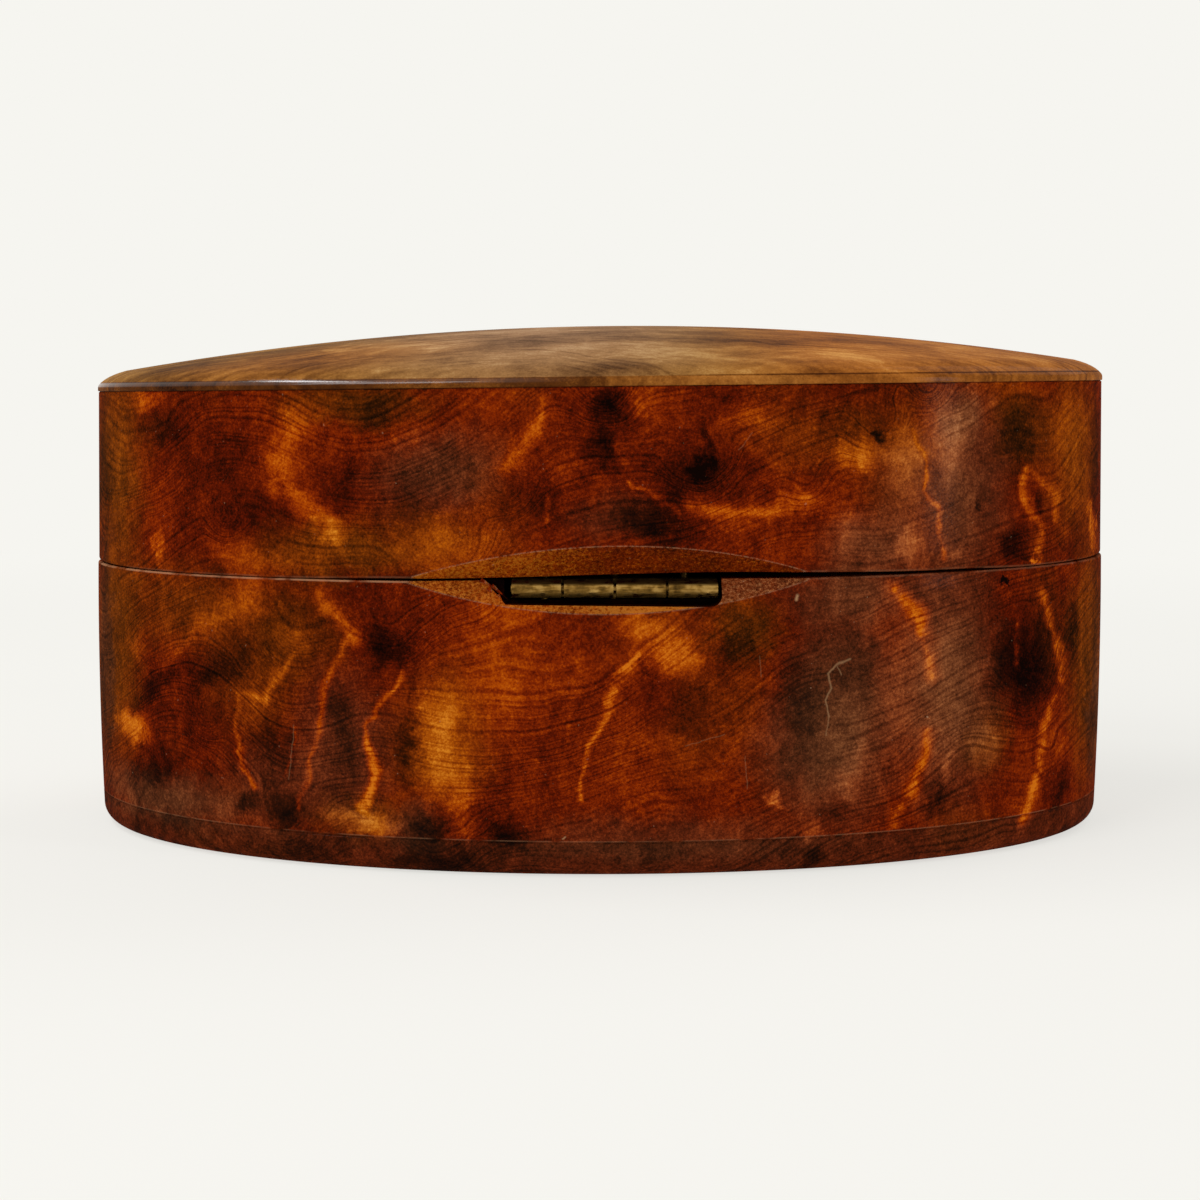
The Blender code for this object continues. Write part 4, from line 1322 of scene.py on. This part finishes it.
# %% Slope colours
SPECKLE_SWING = 2.5
LID_SLOPE_DARKER = 1.05
BODY_SLOPE_DARKER = 0.42
lit_end = calc(tree, "MULTIPLY", soft_step(tree, parts["X"], -2.0, 9.0), 0.36)
lid_tone = calc(tree, "MULTIPLY_ADD", file_marks, 0.45, lit_end)
lid_tone = calc(tree, "SUBTRACT", lid_tone, LID_SLOPE_DARKER)
lid_tone = calc(tree, "MULTIPLY_ADD", speckle, SPECKLE_SWING, lid_tone)
lid_colour = place_group(tree, stain_group, Tone=lid_tone, Gold=0.6, Grey=0.0)["Colour"]
left_end = soft_step(tree, parts["X"], 9.0, 13.0)
right_end = soft_step(tree, parts["X"], -8.0, -13.0)
body_tone = calc(tree, "MULTIPLY_ADD", right_end, -0.24, -BODY_SLOPE_DARKER)
body_tone = calc(tree, "MULTIPLY_ADD", speckle, SPECKLE_SWING, body_tone)
body_tone = calc(tree, "MULTIPLY_ADD", left_end, -0.06, body_tone)
middle = soft_step(tree, calc(tree, "ABSOLUTE", calc(tree, "ADD", parts["X"], 4.0)), 7.0, 3.0)
body_tone = calc(tree, "MULTIPLY_ADD", middle, 0.22, body_tone)
body_grey = calc(tree, "MULTIPLY_ADD", right_end, 0.7, 0.1)
body_colour = place_group(tree, stain_group, Tone=body_tone, Gold=0.7, Grey=body_grey)["Colour"]
tell("burl_wall with the slopes' colours", tree)

# %% Rubbed arrises and a painted highlight on the seam
RUBBED_AND_HIGHLIGHT_WOOD = (0.42, 0.20, 0.10, 1)
RIM_RUB_AND_HIGHLIGHT = 0.66
EDGE_RUB = 0.55
LID_SLOPE_BARE = 0.45
BODY_SLOPE_BARE = 0.55
oval_share = vector(tree, "MULTIPLY", place, (1 / HALF_LENGTH, 1 / HALF_DEPTH, 0))
share = vector(tree, "LENGTH", oval_share, output="Value")
outer = soft_step(tree, share, 0.989, 0.994)
body_rim = soft_step(tree, calc(tree, "SUBTRACT", SEAM, body_parts["Z"]), 0.24, 0.10)
# Towards +X the seam's pale arris is partly wear and partly a painted highlight where it catches the key
# light.
worn_and_lit_end = soft_step(tree, parts["X"], 14.0, 24.0)
body_rim = calc(tree, "MULTIPLY", body_rim, calc(tree, "MULTIPLY_ADD", worn_and_lit_end, 0.75, 0.25))
body_rim = calc(tree, "MULTIPLY", body_rim, on_body)
lid_rim = soft_step(tree, calc(tree, "SUBTRACT", lid_parts["Z"], LID_SEAM), 0.3, 0.12)
lid_rim = calc(tree, "MULTIPLY", calc(tree, "MULTIPLY", lid_rim, 0.25), on_lid)
seam_rub_and_highlight = calc(tree, "MULTIPLY", calc(tree, "MAXIMUM", body_rim, lid_rim), outer)
from_base = calc(tree, "SUBTRACT", body_parts["Z"], BODY_BOTTOM)
base_rub = calc(tree, "MULTIPLY", soft_step(tree, from_base, 0.2, 0.06), 0.45)
patchy = soft_step(tree, noise(tree, place, 3.0, detail=3), 0.34, 0.56)
rub_and_highlight = calc(tree, "MULTIPLY", calc(tree, "MAXIMUM", seam_rub_and_highlight, base_rub), patchy)
edge = calc(tree, "SUBTRACT", edge, calc(tree, "ADD", slope_lid, slope_body), clamp=True)
frayed_edge = calc(tree, "MULTIPLY", edge, soft_step(tree, speckle, 0.35, 0.6))
rub_and_highlight = calc(tree, "MULTIPLY", rub_and_highlight, RIM_RUB_AND_HIGHLIGHT)
rub_and_highlight = calc(tree, "MAXIMUM", rub_and_highlight, calc(tree, "MULTIPLY", frayed_edge, EDGE_RUB))
rubbed_and_lit = mixed(tree, rub_and_highlight, stain, RUBBED_AND_HIGHLIGHT_WOOD)
worked = mixed(tree, calc(tree, "MULTIPLY", slope_lid, LID_SLOPE_BARE), rubbed_and_lit, lid_colour)
worked = mixed(tree, calc(tree, "MULTIPLY", slope_body, BODY_SLOPE_BARE), worked, body_colour)
tell("burl_wall with its rubbed edges", tree)

# %% Scratches, chips and one crack
SCRATCHES = [
    # places from end to end (across, up), half width, strength
    ([(-25.6, 22.4), (-24.2, 21.9), (-23.2, 20.9), (-23.6, 19.4), (-22.9, 18.2), (-23.3, 16.4)],
     0.20, 0.36),
    ([(-23.3, 16.4), (-23.0, 14.4)], 0.12, 0.26), ([(-24.2, 21.9), (-24.6, 20.8)], 0.12, 0.26),
    ([(-19.9, 29.3), (-19.8, 28.9)], 0.32, 0.70), ([(-8.0, 13.8), (-12.2, 14.9)], 0.10, 0.14),
    ([(-14.3, 12.6), (-14.6, 9.2)], 0.10, 0.16), ([(-15.8, 23.0), (-16.0, 20.9)], 0.10, 0.16),
    ([(33.3, 15.0), (33.9, 9.2)], 0.12, 0.16), ([(20.2, 1.7), (20.6, 3.0), (21.2, 1.6)], 0.12, 0.50),
    ([(4.4, 4.3), (4.6, 4.1)], 0.18, 0.60), ([(-15.0, 46.4), (-13.6, 44.6)], 0.10, 0.14),
]
SCRATCHED_WOOD = (0.44, 0.25, 0.12, 1)
scratched = strongest_vein(tree, shaken(tree, place, 0.5, 1.2), SCRATCHES)
scratched = calc(tree, "MULTIPLY", scratched, calc(tree, "GREATER_THAN", parts["Y"], 0.0))
worked = mixed(tree, scratched, worked, SCRATCHED_WOOD)
print(len(SCRATCHES), "scratches and chips")

# %% Specks of dust
SPECK_SIZE = 0.42
DUST = (0.45, 0.26, 0.15, 1)
specks = soft_step(tree, noise(tree, place, SPECK_SIZE, detail=1), 0.77, 0.83)
dusty = calc(tree, "MULTIPLY_ADD", calc(tree, "ADD", slope_body, grey), 0.3, 0.25)
worked = mixed(tree, calc(tree, "MULTIPLY", specks, dusty), worked, DUST)
tell("burl_wall with dust", tree)

# %% Painted shade in the hinge slot
# Inside the slot, above its floor line and back from the outer face, the wood is painted near black as the
# shade under the barrel and the lid.
SLOT_FALL = 0.017
SLOT_MIDDLE = 28.27
SHELTERED_Y = 36.8
INNER_Y = 32.5
SLOT_SHADE = (0.001, 0.0006, 0.0004, 1)
SLOT_SHADE_SHARE = 0.93
in_slot = calc(tree, "GREATER_THAN", parts["X"], SLOT_LEFT - 0.06)
sheltered = calc(tree, "MULTIPLY_ADD", body_parts["Z"], CHAMFER_INSET / BODY_CHAMFER, parts["Y"])
sheltered = calc(tree, "LESS_THAN", sheltered, SHELTERED_Y + SEAM * CHAMFER_INSET / BODY_CHAMFER)
shaded_end = calc(tree, "MULTIPLY_ADD", sheltered, 3.4, SLOT_RIGHT - 1.4)
in_slot = calc(tree, "MULTIPLY", in_slot, calc(tree, "LESS_THAN", parts["X"], shaded_end))
slot_floor = calc(tree, "MULTIPLY_ADD", parts["X"], SLOT_FALL, SLOT_MIDDLE)
slot_shade = calc(tree, "MULTIPLY", in_slot, calc(tree, "GREATER_THAN", body_parts["Z"], slot_floor))
slot_shade = calc(tree, "MULTIPLY", slot_shade, calc(tree, "GREATER_THAN", parts["Y"], INNER_Y))
covered = calc(tree, "MAXIMUM", slope_body, outer)
slot_shade = calc(tree, "MULTIPLY", slot_shade, calc(tree, "SUBTRACT", on_body, covered, clamp=True))
worked = mixed(tree, calc(tree, "MULTIPLY", slot_shade, SLOT_SHADE_SHARE), worked, SLOT_SHADE)
tree.links.new(bare_inside(tree, place, worked), shader.inputs["Base Color"])
tell("burl_wall with dirt in its slot", tree)

# %% Wall surface
slopes = calc(tree, "MAXIMUM", slope_lid, slope_body)
relief = calc(tree, "MULTIPLY", speckle, calc(tree, "MULTIPLY_ADD", slopes, 6.0, 0.25))
bump = add(tree, "Bump", {"Height": relief, "Distance": 0.04 * mm, "Strength": 0.6})
tree.links.new(bump.outputs["Normal"], shader.inputs["Normal"])
tell("burl_wall", tree)

# %% [markdown]
# ## Panel and base
# The panel is a paler, golden burl under a thicker varnish. Its edge takes the stain unevenly,
# darker towards +X, and the polish lies thick where the edge turns over. The base plate was cut
# from the wall's own wood, so it has the wall's figure, only darker and duller.

# %% Panel stain group
BROWN_STOPS = [
    (0.0, (0.012, 0.004, 0.001)), (0.3, (0.070, 0.024, 0.004)), (0.5, (0.165, 0.066, 0.012)),
    (0.7, (0.300, 0.135, 0.028)), (1.0, (0.560, 0.320, 0.100)),
]
PALE_STOPS = [
    (0.0, (0.020, 0.010, 0.006)), (0.3, (0.100, 0.048, 0.022)), (0.5, (0.220, 0.112, 0.054)),
    (0.7, (0.360, 0.196, 0.098)), (1.0, (0.620, 0.420, 0.260)),
]
ORANGE_STOPS = [
    (0.0, (0.020, 0.004, 0.001)), (0.3, (0.100, 0.026, 0.003)), (0.5, (0.240, 0.072, 0.009)),
    (0.7, (0.400, 0.135, 0.020)), (1.0, (0.680, 0.330, 0.080)),
]
panel_stain = colour_group("Panel Stain", "Pale", "Orange", (BROWN_STOPS, PALE_STOPS, ORANGE_STOPS))

# %% Panel figure
CROWN_PATCHES = [
    # across, back, half width, half depth, lean in degrees, strength
    (37.0, 25.0, 7.0, 8.0, 0, -0.10), (33.0, 27.0, 3.0, 6.0, 20, -0.06), (47.0, 14.0, 6.0, 9.0, 0, -0.06),
    (44.0, 2.0, 7.0, 6.0, 0, 0.10), (30.0, 21.0, 1.6, 2.4, 0, 0.22), (-2.0, 30.0, 9.0, 6.0, 0, 0.10),
    (-15.0, 25.0, 7.0, 3.0, 0, -0.16), (-3.0, 38.6, 6.0, 2.0, 0, -0.16), (-32.0, 20.0, 9.0, 4.0, 6, -0.10),
    (-24.0, 31.0, 7.0, 3.0, -6, 0.10), (12.0, 14.0, 9.0, 5.0, 0, 0.08), (-50.0, 6.0, 4.0, 9.0, 0, -0.10),
]
VARNISH = 0.06
PANEL_TONE = 0.24
PANEL_RING_LEAN = (0.10, 0.95, 0.2)
PANEL_RING_WIDTH = 0.9
STREAK_SIZE = 4.4
panel_finish, tree, shader = wood_material("burl_panel", roughness=0.36, coat=VARNISH)
place = millimetres(tree)
parts = add(tree, "SeparateXYZ", {0: place}).outputs
field = vector(tree, "DOT_PRODUCT", place, PANEL_RING_LEAN, output="Value")
moved = vector(tree, "ADD", place, (90, 40, 10))
burl = place_group(
    tree, burl_group, Position=moved, Field=field, Ring_Width=PANEL_RING_WIDTH, Eyes=1.0,
)
tone = calc(tree, "MULTIPLY_ADD", burl["Cloud"], 0.7, PANEL_TONE)
tone = calc(tree, "MULTIPLY_ADD", burl["Flame"], 0.05, tone)
tone = calc(tree, "MULTIPLY_ADD", burl["Eye"], -0.3, tone)
tone = calc(tree, "MULTIPLY_ADD", burl["Rings"], 0.35, tone)
bent = vector(tree, "MULTIPLY", shaken(tree, moved, 7.0, 9.0), (0.30, 1.0, 1.0))
streaks = noise(tree, bent, STREAK_SIZE, detail=5, roughness=0.70)
tone = calc(tree, "MULTIPLY_ADD", calc(tree, "SUBTRACT", streaks, 0.5), 0.9, tone)
tone = calc(tree, "MULTIPLY_ADD", burl["Mottle"], 0.4, tone)
from_above = joined(tree, X=parts["X"], Z=parts["Y"])
tone = add_patches(tree, shaken(tree, from_above, 5.0, 6.0), CROWN_PATCHES, start=tone)
pale = add_patches(tree, from_above, [(8.0, 10.0, 19.0, 34.0, 0, 0.8)])
orange = soft_step(tree, parts["X"], -6.0, -26.0)
orange_patch = add_patches(tree, from_above, [(34.0, 26.0, 16.0, 9.0, 0, 0.6)])
orange = calc(tree, "MAXIMUM", orange, orange_patch)
tell("burl_panel with its wood", tree)

# %% Panel edge
straight = place_group(tree, straight_group, Position=place)["Body Position"]
height = calc(tree, "SUBTRACT", part_of(tree, straight, "Z"), PANEL_BOTTOM)
on_edge = soft_step(tree, height, 1.06, 0.98)
dark_end = soft_step(tree, parts["X"], -6.0, 12.0)
edge_tone = calc(tree, "MULTIPLY_ADD", dark_end, -0.26, -0.08)
tone = calc(tree, "MULTIPLY_ADD", on_edge, edge_tone, tone)
# A thin dark line is painted where the edge turns over into the dome at -X, as the shade of that turn.
shaded_crease = soft_step(tree, height, 0.9, 1.02)
shaded_crease = calc(tree, "MULTIPLY", shaded_crease, soft_step(tree, height, 1.16, 1.06))
shaded_crease = calc(tree, "MULTIPLY", shaded_crease, soft_step(tree, parts["X"], -4.0, -14.0))
tone = calc(tree, "MULTIPLY_ADD", shaded_crease, -0.30, tone)
pale = calc(tree, "MULTIPLY", pale, calc(tree, "SUBTRACT", 1.0, on_edge))
orange = calc(tree, "MAXIMUM", orange, calc(tree, "MULTIPLY", on_edge, 0.7))
colour = place_group(tree, panel_stain, Tone=tone, Pale=pale, Orange=orange)["Colour"]
tree.links.new(bare_inside(tree, place, colour), shader.inputs["Base Color"])
turn = calc(tree, "MULTIPLY", soft_step(tree, height, 0.4, 0.6), soft_step(tree, height, 1.05, 0.85))
polish = calc(tree, "MULTIPLY", turn, soft_step(tree, parts["X"], 2.0, 14.0))
tree.links.new(calc(tree, "MULTIPLY_ADD", polish, 0.7, VARNISH), shader.inputs["Coat Weight"])
tell("burl_panel", tree)

# %% Base material
base_finish, tree, shader = wood_material("burl_base", roughness=0.38, coat=WOOD_SHEEN)
place = millimetres(tree)
stain, grey = wall_wood(tree, place, darkening=0.10, greying=0.35)
tree.links.new(bare_inside(tree, place, stain), shader.inputs["Base Color"])
tell("burl_base", tree)

# %% [markdown]
# ## Old brass
# The barrel has a dull olive skin with brighter rubbed streaks along it. Above the pin's axis,
# where the lid shades it, the brass is painted dark as shade. It is metal all over, and its
# roughness follows the tarnish.

# %% Brass material
BRASS_STOPS = [
    (0.3, (0.060, 0.032, 0.008)), (0.5, (0.230, 0.125, 0.026)), (0.7, (0.480, 0.290, 0.085)),
]
BARREL_TOP_SHADE = (0.012, 0.005, 0.002, 1)
brass_finish = bpy.data.materials.new("aged_brass")
brass_finish.use_nodes = True
tree = brass_finish.node_tree
shader = tree.nodes["Principled BSDF"]
shader.inputs["Metallic"].default_value = 1.0
place = millimetres(tree)
long_streaks = noise(tree, vector(tree, "MULTIPLY", place, (0.12, 1, 1)), 0.22, detail=3)
blotches = noise(tree, place, 1.1, detail=3)
tarnish = calc(tree, "MULTIPLY_ADD", long_streaks, 0.42, calc(tree, "MULTIPLY", blotches, 0.62))
brass_colour = colour_ramp(tree, tarnish, BRASS_STOPS)
# The brass above the pin's axis is painted dark, as the shade under the lid.
above_axis = soft_step(tree, part_of(tree, place, "Z"), AXIS.z + 0.28, AXIS.z + 0.62)
brass_colour = mixed(tree, calc(tree, "MULTIPLY", above_axis, 0.9), brass_colour, BARREL_TOP_SHADE)
tree.links.new(brass_colour, shader.inputs["Base Color"])
tree.links.new(soft_step(tree, tarnish, 0.8, 0.3), shader.inputs["Roughness"])
tell("aged_brass", tree)

# %% Put the finishes on
FINISHES = {
    "burl_base_plate": base_finish, "burl_body_wall": wall_finish, "burl_lid_wall": wall_finish,
    "burl_lid_panel": panel_finish, "base_glue_line": base_finish, "panel_glue_line": base_finish,
    "slot_splinters": wall_finish,
}
for name, piece in pieces.items():
    piece.data.materials.clear()
    piece.data.materials.append(FINISHES.get(name, brass_finish))
print("finished", len(pieces), "pieces")

# %% [markdown]
# ## Floor, background and light
# The box was photographed straight on and cut out against warm white. The floor and the
# background get that colour, and the light stays plain: a soft key from the upper left, a
# wide fill, one narrow upright panel at the right, which the curved wall reflects faintly
# beside the sheen painted into its wood there, and a strip above the lid for its crown.

# %% Background
BACKGROUND = (0.922, 0.913, 0.871)
AMBIENT = (1, 0.99, 0.97, 1)
world = bpy.data.worlds.new("studio")
scene.world = world
world.use_nodes = True
tree = world.node_tree
tree.nodes.clear()
path = add(tree, "LightPath").outputs
seen = calc(tree, "ADD", path["Is Camera Ray"], path["Is Glossy Ray"])
seen = calc(tree, "ADD", seen, path["Is Transmission Ray"], clamp=True)
shown = add(tree, "Background", {"Color": (*BACKGROUND, 1), "Strength": 1.0}).outputs[0]
ambient = add(tree, "Background", {"Color": AMBIENT, "Strength": 0.42}).outputs[0]
sky = add(tree, "MixShader", {0: seen, 1: ambient, 2: shown}).outputs[0]
add(tree, "OutputWorld", {"Surface": sky})
tell("studio", tree)

# %% Floor
FLOOR_REACH = 6.0
bm = bmesh.new()
bmesh.ops.create_grid(bm, x_segments=1, y_segments=1, size=FLOOR_REACH)
bmesh.ops.translate(bm, vec=(0, 0, -0.02 * mm), verts=bm.verts)
floor = mesh_object("studio_floor", bm)
print("floor", 2 * FLOOR_REACH, "m across")

# %% Floor finish
PAPER = (0.27, 0.267, 0.255, 1)
floor_finish = bpy.data.materials.new("studio_floor")
floor_finish.use_nodes = True
tree = floor_finish.node_tree
tree.nodes.clear()
glow = add(tree, "Emission", {"Color": (*BACKGROUND, 1), "Strength": 0.70}).outputs[0]
paper = add(tree, "BsdfDiffuse", {"Color": PAPER}).outputs[0]
both = add(tree, "AddShader", {0: glow, 1: paper}).outputs[0]
far = add(tree, "Emission", {"Color": (*BACKGROUND, 1), "Strength": 1.0}).outputs[0]
ground = add(tree, "TexCoord").outputs["Object"]
away = soft_step(tree, vector(tree, "LENGTH", ground, output="Value"), 0.09, 0.45)
spread = add(tree, "MixShader", {0: away, 1: both, 2: far}).outputs[0]
add(tree, "OutputMaterial", {"Surface": spread})
floor.data.materials.append(floor_finish)
tell("studio_floor", tree)


# %% Lamps
def soft_box(name, place, aim, size, power):
    """A rectangular lamp that looks at a point. Its size is its width and height."""
    lamp = bpy.data.lights.new(name, "AREA")
    lamp.shape = "RECTANGLE"
    lamp.size, lamp.size_y = size
    lamp.energy = power
    thing = bpy.data.objects.new(name, lamp)
    thing.location = place
    thing.rotation_euler = (Vector(aim) - Vector(place)).to_track_quat("-Z", "Y").to_euler()
    scene.collection.objects.link(thing)
    print(f"{name}: {power} W")


soft_box("key", (0.58, 0.64, 0.60), aim=(0, 0, 0.03), size=(0.5, 0.5), power=4.0)
soft_box("fill", (-0.7, -0.5, 0.7), aim=(0, 0, 0.03), size=(0.7, 0.7), power=3.0)
soft_box("right_panel", (-0.40, 0.225, 0.10), aim=(-0.035, 0.03, 0.03), size=(0.06, 0.20), power=0.45)
soft_box("top_strip", (0.28, 0.02, 0.46), aim=(0.03, 0.03, 0.05), size=(0.30, 0.05), power=0.8)

# %% [markdown]
# ## Camera
# The photograph is nearly level, from just below the lid's crown, with the lens shifted down so
# that the uprights stay upright. The distance and lens come from the box's own proportions:
# how much the front of the oval base drops below its ends, and how wide the box looks.

# %% Camera
TURN = 0.02
ROLL_OF_CAMERA = 0.002
CAMERA_REACH = 0.2813
CAMERA_HEIGHT = 0.0516
camera_data = bpy.data.cameras.new("camera")
camera_data.sensor_width = 36
camera_data.lens = 69.80
camera_data.shift_x = -0.0011
camera_data.shift_y = -0.1815
camera_data.clip_start = 0.01
camera = bpy.data.objects.new("camera", camera_data)
camera.location = (CAMERA_REACH * math.sin(TURN), CAMERA_REACH * math.cos(TURN), CAMERA_HEIGHT)
level = Matrix.Rotation(math.pi - TURN, 3, "Z") @ Matrix.Rotation(math.radians(90), 3, "X")
camera.rotation_euler = (level @ Matrix.Rotation(ROLL_OF_CAMERA, 3, "Z")).to_euler()
scene.collection.objects.link(camera)
scene.camera = camera
print(f"camera {CAMERA_REACH:.3f} m away with a {camera_data.lens:.1f} mm lens")
scene.view_settings.view_transform = "Standard"
